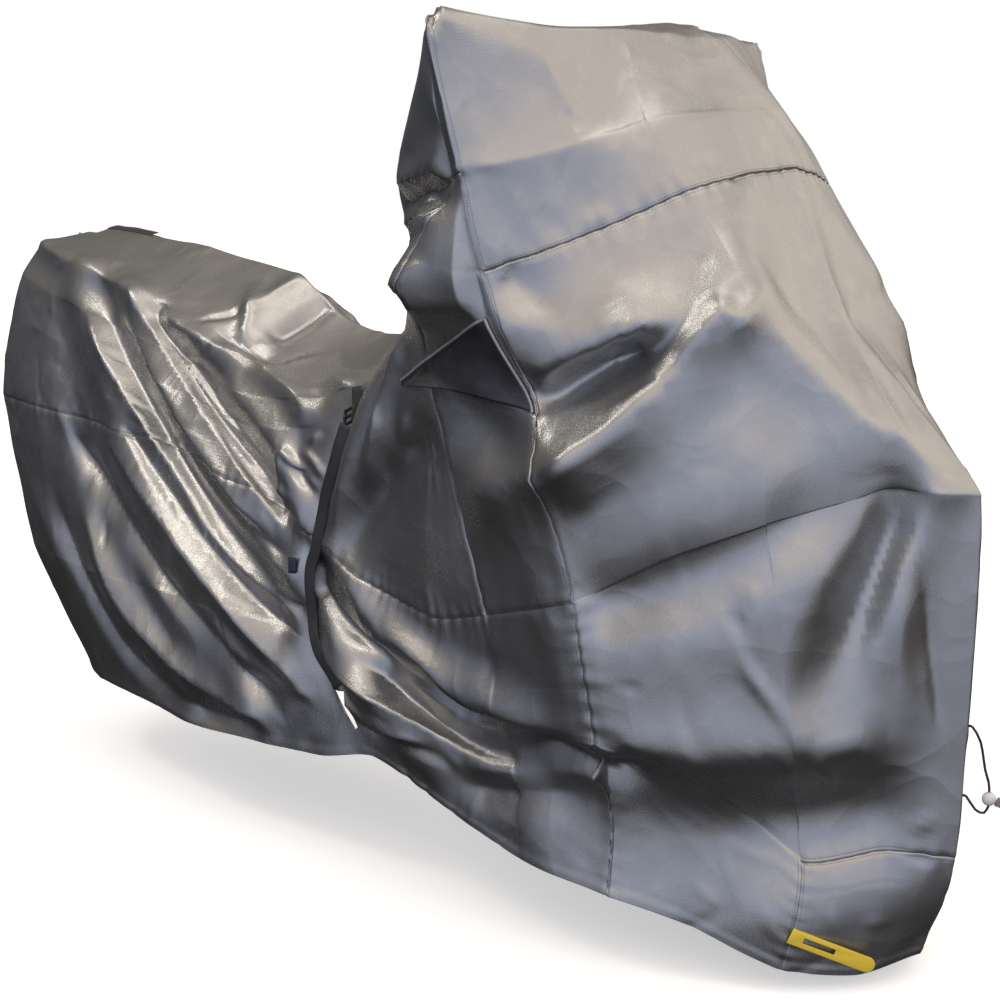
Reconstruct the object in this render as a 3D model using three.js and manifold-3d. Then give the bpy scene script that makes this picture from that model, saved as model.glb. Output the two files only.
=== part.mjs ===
import * as THREE from "three";
import Module from "manifold-3d";
import { mergeVertices } from "three/addons/utils/BufferGeometryUtils.js";

// Fabric cover draped over a touring motorcycle, in millimetres, +Z up.
// The tables are measured from a point on the floor 300 mm behind the bar ends:
// X forward, Y to the rider's left. The whole part is then moved so that its origin
// lies under the top of the cloth, midway between the bar ends.

const CLOTH_THICKNESS = 2;
const SEAM_INSET = 0.3;
const ROUNDNESS = 0.62;
const ORIGIN = new THREE.Vector3(300, 0, 1423);

const STRAP = { width: 25, thickness: 1.6, lift: 0.7, step: 12 };
const STRAP_PATH = [
  [-51, 791], [-70, 730], [-105, 655], [-130, 565], [-145, 525], [-142, 435], [-112, 385], [-74, 326],
];
const TAB_PATH = [[-66, 852], [-56, 808]];
const TAB_WIDTH = 22;
const LABEL_PATH = [[-178, 545], [-176, 517]];
const LABEL_WIDTH = 19;
const BUCKLE = { width: 36, height: 30, depth: 6, bar: 4, sink: 0.1 };

const VENT = {
  rear: [128, 884], top: [384, 1000], bottom: [447, 862], tip: 10,
  across: 6, along: 10, lift: 1.2, billow: 16, sag: 16, thickness: 1.5,
};

const LOCK = {
  root: [820, -185, 98], end: [893, -78, 47], facing: [0.74, -0.66, -0.12],
  width: 25, thickness: 2, clearance: 0.8, stand: 16, slit: 52, slitWidth: 9, slitStart: 22,
};

const GAP_CORNERS = [[-84, 318], [-56, 322], [-26, 262], [-32, 258]];
const GAP_REACH = [-400, -180];

const TAIL_STRIP = { from: [-1185, 62], to: [-1040, 78], width: 22, lift: 0.9, thickness: 1.2 };

const CORD_DIAMETER = 4;
const CORD_SIDES = 8;
const CORD_UPPER = {
  exit: [0, 6, 414], path: [[1010, 12, 392], [1016, 18, 350], [1020, 23, 330]], end: 1,
};
const CORD_LOWER = { exit: [0, 8, 306], path: [[1006, 12, 288], [1016, 20, 283]], end: -1 };
const CORD_SEAT = { gap: 2, straight: 8 };
const TOGGLE = { at: [1021, 24, 305], radius: 10.5, gap: 0.4 };
const CORD_TAB = { along: [0.72, 0.6, -0.35], length: 20, thickness: 3, width: 15 };

// Section lines from the crown down to the hem, the rows of cells under each,
// and how round the cloth runs over the line.
const LEVELS = [
  { name: "crown", rows: 3, round: 1 },
  { name: "ridge", rows: 2, round: 0.5 },
  { name: "upper", rows: 2, round: 1 },
  { name: "yoke", rows: 3, round: 1 },
  { name: "middle", rows: 4, round: 0.6 },
  { name: "seam", rows: 4, round: 0.35 },
  { name: "low", rows: 3, round: 0.8 },
  { name: "hem", rows: 0, round: 1 },
];

// One row per section from the rear to the nose: half-section points [x, y outwards, z],
// the columns of cells up to the next section, and how round the cloth runs over the section.
const SECTIONS = [
  { name: "rear_end", columns: 2, round: 1,
    crown: [-1205, 0, 1085], ridge: [-1225, 0, 1078], upper: [-1262, 0, 1010], yoke: [-1300, 0, 920],
    middle: [-1325, 0, 820], seam: [-1328, 0, 735], low: [-1210, 0, 420], hem: [-1050, 0, 165] },
  { name: "rear_round", columns: 2, round: 1,
    crown: [-1185, 0, 1085], ridge: [-1219, 78, 1070], upper: [-1255, 95, 1005], yoke: [-1290, 105, 915],
    middle: [-1312, 112, 820], seam: [-1312, 118, 735], low: [-1198, 122, 425], hem: [-1035, 95, 168] },
  { name: "rear_corner", columns: 3, round: 1,
    crown: [-1120, 0, 1085], ridge: [-1190, 100, 1060], upper: [-1215, 140, 1000], yoke: [-1235, 160, 910],
    middle: [-1250, 172, 820], seam: [-1252, 180, 735], low: [-1142, 190, 425], hem: [-985, 160, 172] },
  { name: "rear_quarter", columns: 5, round: 1,
    crown: [-1000, 0, 1085], ridge: [-1040, 130, 1030], upper: [-1060, 165, 960], yoke: [-1075, 185, 880],
    middle: [-1085, 200, 800], seam: [-1085, 210, 730], low: [-1000, 235, 425], hem: [-880, 210, 178] },
  { name: "tail_middle", columns: 5, round: 1,
    crown: [-800, 0, 1072], ridge: [-815, 150, 982], upper: [-830, 185, 915], yoke: [-840, 205, 850],
    middle: [-845, 218, 780], seam: [-845, 228, 718], low: [-810, 260, 420], hem: [-690, 245, 178] },
  { name: "tail_front", columns: 4, round: 0.7,
    crown: [-475, 0, 1020], ridge: [-550, 165, 928], upper: [-580, 195, 860], yoke: [-600, 215, 805],
    middle: [-605, 230, 750], seam: [-605, 242, 700], low: [-580, 275, 420], hem: [-460, 275, 172] },
  { name: "seat_back", columns: 4, round: 1,
    crown: [-352, 0, 948], ridge: [-410, 175, 856], upper: [-415, 205, 810], yoke: [-410, 222, 765],
    middle: [-395, 240, 710], seam: [-375, 255, 660], low: [-360, 282, 420], hem: [-250, 282, 185] },
  { name: "seat_dip", columns: 4, round: 1,
    crown: [-230, 0, 920], ridge: [-245, 180, 850], upper: [-245, 210, 810], yoke: [-250, 230, 760],
    middle: [-245, 248, 700], seam: [-240, 262, 625], low: [-225, 282, 410], hem: [-110, 280, 195] },
  { name: "waist", columns: 4, round: 1,
    crown: [-60, 0, 935], ridge: [-40, 175, 900], upper: [-30, 220, 870], yoke: [-45, 245, 810],
    middle: [-85, 265, 710], seam: [-130, 278, 580], low: [-115, 282, 390], hem: [10, 272, 218] },
  { name: "tank", columns: 3, round: 1,
    crown: [70, 0, 1010], ridge: [98, 210, 1040], upper: [112, 260, 1000], yoke: [100, 285, 930],
    middle: [60, 290, 800], seam: [60, 290, 520], low: [60, 290, 330], hem: [160, 288, 190] },
  { name: "grip", columns: 3, round: 1,
    crown: [150, 0, 1200], ridge: [150, 330, 1204], upper: [165, 318, 1120], yoke: [155, 318, 1000],
    middle: [170, 318, 840], seam: [200, 305, 500], low: [210, 300, 320], hem: [270, 300, 165] },
  { name: "gusset", columns: 2, round: 0.6,
    crown: [262, 0, 1415], ridge: [284, 398, 1424], upper: [326, 392, 1205], yoke: [262, 372, 1090],
    middle: [215, 335, 900], seam: [330, 325, 530], low: [360, 315, 340], hem: [390, 305, 140] },
  { name: "bar", columns: 6, round: 0.3,
    crown: [300, 0, 1425], ridge: [301, 410, 1440], upper: [351, 400, 1213], yoke: [380, 382, 1069],
    middle: [457, 362, 862], seam: [525, 350, 583], low: [557, 330, 371], hem: [562, 310, 120] },
  { name: "cheek", columns: 5, round: 1,
    crown: [350, 0, 1436], ridge: [385, 260, 1427], upper: [450, 290, 1250], yoke: [505, 255, 1133],
    middle: [600, 290, 970], seam: [665, 310, 660], low: [705, 285, 320], hem: [690, 250, 88] },
  { name: "lamp", columns: 4, round: 0.5,
    crown: [400, 0, 1445], ridge: [450, 135, 1428], upper: [548, 185, 1290], yoke: [615, 175, 1190],
    middle: [705, 190, 1048], seam: [800, 240, 720], low: [840, 185, 205], hem: [802, 180, 38] },
  { name: "brow", columns: 3, round: 1,
    crown: [450, 0, 1442], ridge: [490, 55, 1420], upper: [585, 85, 1305], yoke: [642, 85, 1212],
    middle: [745, 90, 1020], seam: [905, 85, 765], low: [925, 85, 222], hem: [880, 95, 25] },
  { name: "nose", columns: 0, round: 1,
    crown: [478, 0, 1436], ridge: [507, 0, 1416], upper: [590, 0, 1310], yoke: [641, 0, 1217],
    middle: [763, 0, 1000], seam: [1000, 0, 758], low: [986, 0, 210], hem: [930, 0, 45] },
];

// Main folds of the cloth: a path of [x, z] seen from the side, its half width,
// and the height of its crest outwards, negative for a trough.
const FOLDS = [
  { name: "lamp_lip", side: "right", width: 75, height: 26,
    path: [[705, 1040], [615, 900], [535, 815], [460, 775], [375, 745], [240, 725]] },
  { name: "lamp_hollow", side: "right", width: 90, height: -34,
    path: [[630, 950], [525, 915], [430, 890]] },
  { name: "lamp_arc", side: "right", width: 65, height: 14,
    path: [[620, 1015], [550, 990], [450, 950]] },
  { name: "fender_crest", side: "right", width: 80, height: 12,
    path: [[705, 1040], [815, 885], [950, 770]] },
  { name: "belly_trough", side: "right", width: 110, height: -24,
    path: [[575, 645], [685, 680], [830, 780]] },
  { name: "nose_trough", side: "right", width: 70, height: -20,
    path: [[930, 735], [880, 610], [862, 480]] },
  { name: "nose_crest", side: "right", width: 60, height: 13,
    path: [[950, 765], [920, 640], [900, 510]] },
  { name: "low_trough", side: "right", width: 110, height: -26,
    path: [[570, 360], [770, 310], [950, 310]] },
  { name: "low_crest", side: "right", width: 90, height: 14,
    path: [[565, 285], [685, 220], [835, 245]] },
  { name: "strap_trough", side: "right", width: 55, height: -16,
    path: [[-60, 800], [-130, 565], [-142, 435], [-74, 326]] },
  { name: "waist_trough", side: "right", width: 65, height: -28,
    path: [[-110, 520], [100, 362], [440, 310]] },
  { name: "waist_crest", side: "right", width: 65, height: 24,
    path: [[-95, 570], [25, 470], [180, 412], [400, 380]] },
  { name: "waist_low_crest", side: "right", width: 60, height: 18,
    path: [[-60, 390], [45, 315], [175, 255]] },
  { name: "rear_crest", side: "right", width: 85, height: 20,
    path: [[-1040, 1010], [-805, 805], [-635, 625], [-305, 375]] },
  { name: "rear_trough", side: "right", width: 75, height: -24,
    path: [[-925, 985], [-725, 815], [-520, 640], [-220, 440]] },
  { name: "tail_crest", side: "right", width: 75, height: 22,
    path: [[-810, 965], [-645, 820], [-430, 670], [-190, 530]] },
  { name: "tail_trough", side: "right", width: 65, height: -20,
    path: [[-715, 930], [-460, 780], [-275, 660], [-190, 570]] },
  { name: "seat_crest", side: "right", width: 60, height: 18,
    path: [[-435, 810], [-255, 740], [-170, 610]] },
  { name: "rear_low_trough", side: "right", width: 90, height: -20,
    path: [[-1040, 940], [-920, 715], [-765, 495], [-590, 320]] },
  { name: "waist_front_crest", side: "right", width: 60, height: 18,
    path: [[45, 915], [-10, 790], [-70, 640]] },
  { name: "tank_trough", side: "right", width: 80, height: -22,
    path: [[180, 790], [60, 690], [-60, 570]] },
  { name: "under_vent", side: "right", width: 75, height: -22, path: [[330, 830], [425, 785]] },
  { name: "screen_crease", side: "right", width: 70, height: -10,
    path: [[330, 1400], [405, 1365], [505, 1295]] },
  { name: "rear_hem_crest", side: "right", width: 70, height: 14,
    path: [[-520, 490], [-360, 360], [-280, 225]] },
  { name: "tail_hem_crest", side: "right", width: 70, height: 14,
    path: [[-760, 455], [-630, 315], [-515, 215]] },
  { name: "left_lamp_lip", side: "left", width: 85, height: 20,
    path: [[640, 930], [560, 830], [470, 740], [330, 690]] },
  { name: "left_belly_trough", side: "left", width: 110, height: -22,
    path: [[520, 600], [690, 650], [850, 760]] },
  { name: "left_low_trough", side: "left", width: 110, height: -20,
    path: [[480, 300], [700, 330], [920, 400]] },
  { name: "left_waist_trough", side: "left", width: 70, height: -24,
    path: [[-140, 540], [80, 400], [380, 330]] },
  { name: "left_waist_crest", side: "left", width: 70, height: 20,
    path: [[-60, 620], [120, 520], [350, 450]] },
  { name: "left_tail_trough", side: "left", width: 80, height: -22,
    path: [[-860, 960], [-620, 760], [-300, 480]] },
  { name: "left_tail_crest", side: "left", width: 80, height: 20,
    path: [[-740, 930], [-500, 740], [-180, 540]] },
  { name: "left_rear_crest", side: "left", width: 90, height: 18,
    path: [[-1060, 980], [-840, 700], [-560, 380]] },
];

// Cloth panels between their seams. A cell belongs to the first row that holds it,
// and the skirt has a slanted gap at the strap's lower end.
const PANELS = [
  { name: "panel_wheel", side: "both", from: "lamp", to: "nose", top: "low", bottom: "hem" },
  { name: "panel_gusset_right", side: "right", from: "gusset", to: "bar", top: "upper", bottom: "seam" },
  { name: "panel_gusset_left", side: "left", from: "gusset", to: "bar", top: "upper", bottom: "seam" },
  { name: "panel_windshield", side: "both", from: "bar", to: "nose", top: "crown", bottom: "yoke" },
  { name: "panel_front", side: "both", from: "bar", to: "nose", top: "yoke", bottom: "hem" },
  { name: "panel_skirt", side: "both", from: "rear_end", to: "bar", top: "seam", bottom: "hem", gap: true },
  { name: "panel_tail", side: "both", from: "rear_end", to: "bar", top: "crown", bottom: "seam" },
];

const materials = {
  cloth: { color: 0x5d5b57, roughness: 0.5, metalness: 0 },
  webbing: { color: 0x141416, roughness: 0.8, metalness: 0 },
  vent: { color: 0x101113, roughness: 0.3, metalness: 0 },
  yellow: { color: 0xf0d01c, roughness: 0.6, metalness: 0 },
  pale: { color: 0xd8d8d6, roughness: 0.4, metalness: 0 },
};

const wasm = await Module();
wasm.setup();

const part = new THREE.Group();
part.position.copy(ORIGIN).negate();
const root = new THREE.Group();
root.add(part);

function addPiece(name, geometry, finish) {
  const mesh = new THREE.Mesh(geometry, new THREE.MeshStandardMaterial(materials[finish]));
  mesh.name = name;
  part.add(mesh);
}

function vectors(list) {
  return list.map((point) => new THREE.Vector3(...point));
}

// First grid line of each named row of a table.
function gridLines(table, cells) {
  const lines = {};
  let line = 0;
  for (const row of table) {
    lines[row.name] = line;
    line += row[cells];
  }
  return lines;
}

const columnOf = gridLines(SECTIONS, "columns");
const rowOf = gridLines(LEVELS, "rows");
const COLUMNS = columnOf.nose;
const ROWS = rowOf.hem;
const RING = 2 * COLUMNS;

// Points along a curve through the given points, with a number of steps after each of them.
function curveThrough(points, steps, rounds) {
  const curve = [];
  const slope = (i) => {
    const before = points[Math.max(i - 1, 0)];
    const after = points[Math.min(i + 1, points.length - 1)];
    return after.clone().sub(before).multiplyScalar((ROUNDNESS * rounds[i]) / 2);
  };
  for (let i = 0; i < points.length - 1; i++) {
    for (let step = 0; step < steps[i]; step++) {
      const t = step / steps[i];
      const ease = t * t * (3 - 2 * t);
      curve.push(
        points[i].clone().lerp(points[i + 1], ease)
          .addScaledVector(slope(i), t * (1 - t) * (1 - t))
          .addScaledVector(slope(i + 1), -t * t * (1 - t)),
      );
    }
  }
  curve.push(points[points.length - 1].clone());
  return curve;
}

// Smooth half of the cover as columns of points, y outwards.
function halfCover() {
  const columnSteps = SECTIONS.map((section) => section.columns);
  const columnRounds = SECTIONS.map((section) => section.round);
  const rowSteps = LEVELS.map((level) => level.rows);
  const rowRounds = LEVELS.map((level) => level.round);
  const lines = LEVELS.map((level) => {
    const points = vectors(SECTIONS.map((section) => section[level.name]));
    return curveThrough(points, columnSteps, columnRounds);
  });
  return lines[0].map((_, c) => curveThrough(lines.map((line) => line[c]), rowSteps, rowRounds));
}

// The ring of columns runs forward along the right side and back along the left one,
// and both sides share the points of the crown.
function columnAt(k) {
  return k <= COLUMNS ? k : RING - k;
}

function sideAt(k) {
  return k % RING < COLUMNS ? "right" : "left";
}

function pointIndex(r, k) {
  if (r === 0) {
    return columnAt(k % RING);
  }
  return COLUMNS + 1 + (r - 1) * RING + (k % RING);
}

function ringCover() {
  const half = halfCover();
  const points = [];
  for (let r = 0; r <= ROWS; r++) {
    for (let k = 0; k < RING; k++) {
      const point = half[columnAt(k)][r].clone();
      point.y *= k <= COLUMNS ? -1 : 1;
      points[pointIndex(r, k)] = point;
    }
  }
  return points;
}

const cells = [];
for (let r = 0; r < ROWS; r++) {
  for (let k = 0; k < RING; k++) {
    cells.push({
      row: r,
      column: k < COLUMNS ? k : RING - 1 - k,
      side: sideAt(k),
      corners: [[r, k], [r + 1, k], [r + 1, k + 1], [r, k + 1]].map(([i, j]) => pointIndex(i, j)),
    });
  }
}

function cellTriangles(corners) {
  const [a, b, c, d] = corners;
  return [a, b, c, a, c, d];
}

function meshGeometry(points, triangles) {
  const geometry = new THREE.BufferGeometry().setFromPoints(points);
  geometry.setIndex(triangles);
  return geometry;
}

function pointNormals(points) {
  const geometry = meshGeometry(points, cells.flatMap((cell) => cellTriangles(cell.corners)));
  geometry.computeVertexNormals();
  const normal = geometry.getAttribute("normal");
  return points.map((_, i) => new THREE.Vector3().fromBufferAttribute(normal, i));
}

// A fold's path on the smooth cover: y comes from the nearest points of that side.
function pathOnCover(path, side, points) {
  const sign = side === "right" ? -1 : 1;
  const near = points.filter((point) => point.y * sign > 0);
  return path.map(([x, z]) => {
    let weights = 0;
    let sum = 0;
    for (const point of near) {
      const weight = 1 / (((point.x - x) ** 2 + (point.z - z) ** 2) ** 2 + 1);
      weights += weight;
      sum += weight * point.y;
    }
    return new THREE.Vector3(x, sum / weights, z);
  });
}

// Height of a fold at a point: a rounded crest across its path, fading at both ends.
function foldHeight(fold, path, point) {
  const nearest = new THREE.Vector3();
  const segment = new THREE.Line3();
  let best = Infinity;
  let place = 0;
  for (let i = 0; i < path.length - 1; i++) {
    segment.set(path[i], path[i + 1]);
    const t = segment.closestPointToPointParameter(point, true);
    const distance = segment.at(t, nearest).distanceTo(point);
    if (distance < best) {
      best = distance;
      place = (i + t) / (path.length - 1);
    }
  }
  if (best >= fold.width) {
    return 0;
  }
  const across = Math.cos((Math.PI / 2) * (best / fold.width)) ** 2;
  const along = Math.sin(Math.PI * (0.15 + 0.7 * place)) ** 0.5;
  return fold.height * across * along;
}

function foldedCover() {
  const smooth = ringCover();
  const normals = pointNormals(smooth);
  const folded = smooth.map((point) => point.clone());
  for (const fold of FOLDS) {
    const path = pathOnCover(fold.path, fold.side, smooth);
    smooth.forEach((point, i) => folded[i].addScaledVector(normals[i], foldHeight(fold, path, point)));
  }
  return folded;
}

const outer = foldedCover();
const outwards = pointNormals(outer);
const skin = new THREE.Mesh(
  meshGeometry(outer, cells.flatMap((cell) => cellTriangles(cell.corners))),
  new THREE.MeshBasicMaterial({ side: THREE.DoubleSide }),
);

// Closed sheet over a set of cells, pulled back a little from its seams.
function clothPanel(owned) {
  const centres = new Map();
  const uses = new Map();
  const edges = new Map();
  for (const cell of owned) {
    const centre = new THREE.Vector3();
    cell.corners.forEach((i) => centre.addScaledVector(outer[i], 1 / cell.corners.length));
    cell.corners.forEach((i, n) => {
      const j = cell.corners[(n + 1) % cell.corners.length];
      centres.set(i, (centres.get(i) ?? new THREE.Vector3()).add(centre));
      uses.set(i, (uses.get(i) ?? 0) + 1);
      const twin = `${j} ${i}`;
      if (edges.has(twin)) {
        edges.delete(twin);
      } else {
        edges.set(`${i} ${j}`, [i, j]);
      }
    });
  }
  const rim = new Set([...edges.values()].flat());
  const place = new Map();
  const points = [];
  for (const i of uses.keys()) {
    const point = outer[i].clone();
    if (rim.has(i)) {
      const inwards = centres.get(i).clone().divideScalar(uses.get(i)).sub(point).normalize();
      point.addScaledVector(inwards, SEAM_INSET);
    }
    place.set(i, points.length);
    points.push(point, point.clone().addScaledVector(outwards[i], -CLOTH_THICKNESS));
  }
  const triangles = [];
  for (const cell of owned) {
    const [a, b, c, d] = cell.corners.map((i) => place.get(i));
    triangles.push(...cellTriangles([a, b, c, d]));
    triangles.push(...cellTriangles([a + 1, d + 1, c + 1, b + 1]));
  }
  for (const [i, j] of edges.values()) {
    const a = place.get(i);
    const b = place.get(j);
    triangles.push(...cellTriangles(i < j ? [a, a + 1, b + 1, b] : [b, a, a + 1, b + 1]));
  }
  return meshGeometry(points, triangles);
}

function toSolid(geometry) {
  const bare = geometry.clone();
  bare.deleteAttribute("normal");
  bare.deleteAttribute("uv");
  const merged = mergeVertices(bare, 1e-4);
  return new wasm.Manifold(new wasm.Mesh({
    numProp: 3,
    vertProperties: new Float32Array(merged.getAttribute("position").array),
    triVerts: new Uint32Array(merged.index.array),
  }));
}

function fromSolid(solid) {
  const mesh = solid.getMesh();
  const geometry = new THREE.BufferGeometry();
  geometry.setAttribute("position", new THREE.BufferAttribute(mesh.vertProperties, 3));
  geometry.setIndex(new THREE.BufferAttribute(mesh.triVerts, 1));
  return geometry;
}

// Point of the cloth's outer face met from outside along a direction.
function touch(point, facing) {
  const far = 1500;
  const from = point.clone().addScaledVector(facing, far);
  const ray = new THREE.Raycaster(from, facing.clone().negate());
  return ray.intersectObject(skin)[0].point;
}

// Closed sheet from a grid of points on its under face and the same grid on its upper face.
function gridSheet(under, upper) {
  const rows = under.length;
  const width = under[0].length;
  const count = rows * width;
  const triangles = [];
  const at = (i, j) => i * width + j;
  for (let i = 0; i < rows - 1; i++) {
    for (let j = 0; j < width - 1; j++) {
      const [a, b, c, d] = [at(i, j), at(i + 1, j), at(i + 1, j + 1), at(i, j + 1)];
      triangles.push(...cellTriangles([a + count, b + count, c + count, d + count]));
      triangles.push(...cellTriangles([a, d, c, b]));
    }
  }
  const border = [];
  for (let i = 0; i < rows - 1; i++) {
    border.push(at(i, 0));
  }
  for (let j = 0; j < width - 1; j++) {
    border.push(at(rows - 1, j));
  }
  for (let i = rows - 1; i > 0; i--) {
    border.push(at(i, width - 1));
  }
  for (let j = width - 1; j > 0; j--) {
    border.push(at(0, j));
  }
  border.forEach((a, n) => {
    const b = border[(n + 1) % border.length];
    triangles.push(...cellTriangles([a, b, b + count, a + count]));
  });
  return meshGeometry([...under.flat(), ...upper.flat()], triangles);
}

// Plane resting on the proudest cloth below a patch: its directions and its middle.
function restingPlane(centre, facing, lengthwise, length, width) {
  const crosswise = facing.clone().cross(lengthwise).normalize();
  const below = (i, j) => {
    const spot = centre.clone().addScaledVector(lengthwise, i * length);
    return touch(spot.addScaledVector(crosswise, j * width), facing);
  };
  const along = below(0.5, 0).sub(below(-0.5, 0)).normalize();
  const out = along.clone().cross(below(0, 0.5).sub(below(0, -0.5))).normalize();
  const across = out.clone().cross(along);
  const middle = below(0, 0);
  let proud = 0;
  for (let i = -4; i <= 4; i++) {
    for (let j = -4; j <= 4; j++) {
      proud = Math.max(proud, below(i / 8, j / 8).sub(middle).dot(out));
    }
  }
  return { along, across, out, middle: middle.addScaledVector(out, proud) };
}

// Flat band along a path, lying on the cloth below each step.
function band(path, width, facing, { lift, thickness, step }) {
  const curve = new THREE.CatmullRomCurve3(path);
  const steps = Math.max(2, Math.round(curve.getLength() / step));
  const under = [];
  const upper = [];
  for (let i = 0; i <= steps; i++) {
    const [centre, tangent] = [curve.getPointAt(i / steps), curve.getTangentAt(i / steps)];
    const rest = restingPlane(centre, facing, tangent, step, width);
    const edges = [-0.5, 0.5].map((t) => rest.middle.clone().addScaledVector(rest.across, t * width));
    under.push(edges.map((point) => point.clone().addScaledVector(rest.out, lift)));
    upper.push(edges.map((point) => point.clone().addScaledVector(rest.out, lift + thickness)));
  }
  return gridSheet(under, upper);
}

// Side-view points [x, z] as points of the middle plane, to be met from the side.
function sidePoints(path) {
  return path.map(([x, z]) => new THREE.Vector3(x, 0, z));
}

const RIGHT = new THREE.Vector3(0, -1, 0);
const FORWARD = new THREE.Vector3(1, 0, 0);
const UP = new THREE.Vector3(0, 0, 1);

const waistStrap = band(sidePoints(STRAP_PATH), STRAP.width, RIGHT, STRAP);
const strapTab = band(sidePoints(TAB_PATH), TAB_WIDTH, RIGHT, STRAP);
const labelTab = band(sidePoints(LABEL_PATH), LABEL_WIDTH, RIGHT, STRAP);

// Ladder buckle: a rounded frame with two slots beside its bar.
function buckleGeometry() {
  const { width, height, depth, bar } = BUCKLE;
  const frame = rectangle(width, height, 0);
  const slot = (height - 3 * bar) / 2;
  for (const side of [-1, 1]) {
    frame.holes.push(rectangle(width - 2 * bar, slot, (side * (slot + bar)) / 2));
  }
  const geometry = new THREE.ExtrudeGeometry(frame, { depth, bevelEnabled: false });
  const [lower, higher] = sidePoints([STRAP_PATH[0], TAB_PATH[1]]);
  const upwards = higher.clone().sub(lower).normalize();
  const rest = restingPlane(lower.lerp(higher, 0.5), RIGHT, upwards, height, TAB_WIDTH);
  const seat = rest.middle.addScaledVector(rest.out, -BUCKLE.sink);
  const right = rest.along.clone().cross(rest.out);
  const place = new THREE.Matrix4().makeBasis(right, rest.along, rest.out).setPosition(seat);
  return geometry.applyMatrix4(place);
}

function rectangle(width, height, centre) {
  const shape = new THREE.Shape();
  shape.moveTo(-width / 2, centre - height / 2);
  shape.lineTo(width / 2, centre - height / 2);
  shape.lineTo(width / 2, centre + height / 2);
  shape.lineTo(-width / 2, centre + height / 2);
  shape.closePath();
  return shape;
}

// Triangular hood: sewn along its upper and front edges, standing off the cloth at its lower edge.
function ventHood() {
  const { rear, top, bottom, tip, across, along, lift, billow, sag, thickness } = VENT;
  const under = [];
  const upper = [];
  for (let i = 0; i <= along; i++) {
    const t = i / along;
    const high = new THREE.Vector2(...rear).lerp(new THREE.Vector2(...top), t);
    const low = new THREE.Vector2(rear[0], rear[1] - tip).lerp(new THREE.Vector2(...bottom), t);
    low.y += sag * Math.sin(Math.PI * t);
    const line = [];
    for (let j = 0; j <= across; j++) {
      const s = j / across;
      const place = low.clone().lerp(high, s);
      const stand = lift + billow * (1 - s) ** 2 * Math.sin(Math.PI * t);
      const point = touch(new THREE.Vector3(place.x, 0, place.y), RIGHT);
      line.push(point.addScaledVector(RIGHT, stand));
    }
    under.push(line);
    upper.push(line.map((point) => point.clone().addScaledVector(RIGHT, thickness)));
  }
  return gridSheet(under, upper);
}

// Lock loop: a webbing tab with a blunt root and a round end, sewn on at its root,
// its far end standing off the cloth, with a slit along it.
function lockFrame() {
  const facing = new THREE.Vector3(...LOCK.facing).normalize();
  const start = touch(new THREE.Vector3(...LOCK.root), facing);
  const end = touch(new THREE.Vector3(...LOCK.end), facing).addScaledVector(facing, LOCK.stand);
  const length = start.distanceTo(end);
  const along = end.clone().sub(start).normalize();
  const out = facing.clone().addScaledVector(along, -facing.dot(along)).normalize();
  const across = out.clone().cross(along);
  let proud = 0;
  for (let i = 0; i <= 8; i++) {
    for (const j of [-0.5, 0, 0.5]) {
      const spot = start.clone().lerp(end, i / 8).addScaledVector(across, j * LOCK.width);
      proud = Math.max(proud, touch(spot, out).sub(spot).dot(out));
    }
  }
  const origin = start.addScaledVector(out, proud + LOCK.clearance);
  return { matrix: new THREE.Matrix4().makeBasis(along, across, out).setPosition(origin), length };
}

const lock = lockFrame();

function lockLoop() {
  const radius = LOCK.width / 2;
  const shape = new THREE.Shape();
  shape.moveTo(0, -radius);
  shape.lineTo(lock.length - radius, -radius);
  shape.absarc(lock.length - radius, 0, radius, -Math.PI / 2, Math.PI / 2, false);
  shape.lineTo(0, radius);
  shape.closePath();
  const slit = new THREE.Path();
  const ends = [LOCK.slitStart, LOCK.slitStart + LOCK.slit];
  slit.moveTo(ends[0], -LOCK.slitWidth / 2);
  slit.lineTo(ends[0], LOCK.slitWidth / 2);
  slit.lineTo(ends[1], LOCK.slitWidth / 2);
  slit.lineTo(ends[1], -LOCK.slitWidth / 2);
  slit.closePath();
  shape.holes.push(slit);
  const extrusion = { depth: LOCK.thickness, bevelEnabled: false, curveSegments: 6 };
  return new THREE.ExtrudeGeometry(shape, extrusion).applyMatrix4(lock.matrix);
}

// Slanted gap beside the strap's cut end, through the right wall of the skirt.
function gapCutter() {
  const shape = new THREE.Shape(GAP_CORNERS.map(([x, z]) => new THREE.Vector2(x, z)));
  const extrusion = { depth: GAP_REACH[1] - GAP_REACH[0], bevelEnabled: false };
  const geometry = new THREE.ExtrudeGeometry(shape, extrusion);
  geometry.rotateX(Math.PI / 2);
  return geometry.translate(0, GAP_REACH[1], 0);
}

function tailStrip() {
  const [from, to] = [TAIL_STRIP.from, TAIL_STRIP.to].map(([x, y]) => new THREE.Vector3(x, y, ORIGIN.z));
  const path = [from, from.clone().lerp(to, 0.5), to];
  return band(path, TAIL_STRIP.width, UP, { ...TAIL_STRIP, step: STRAP.step });
}

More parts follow.
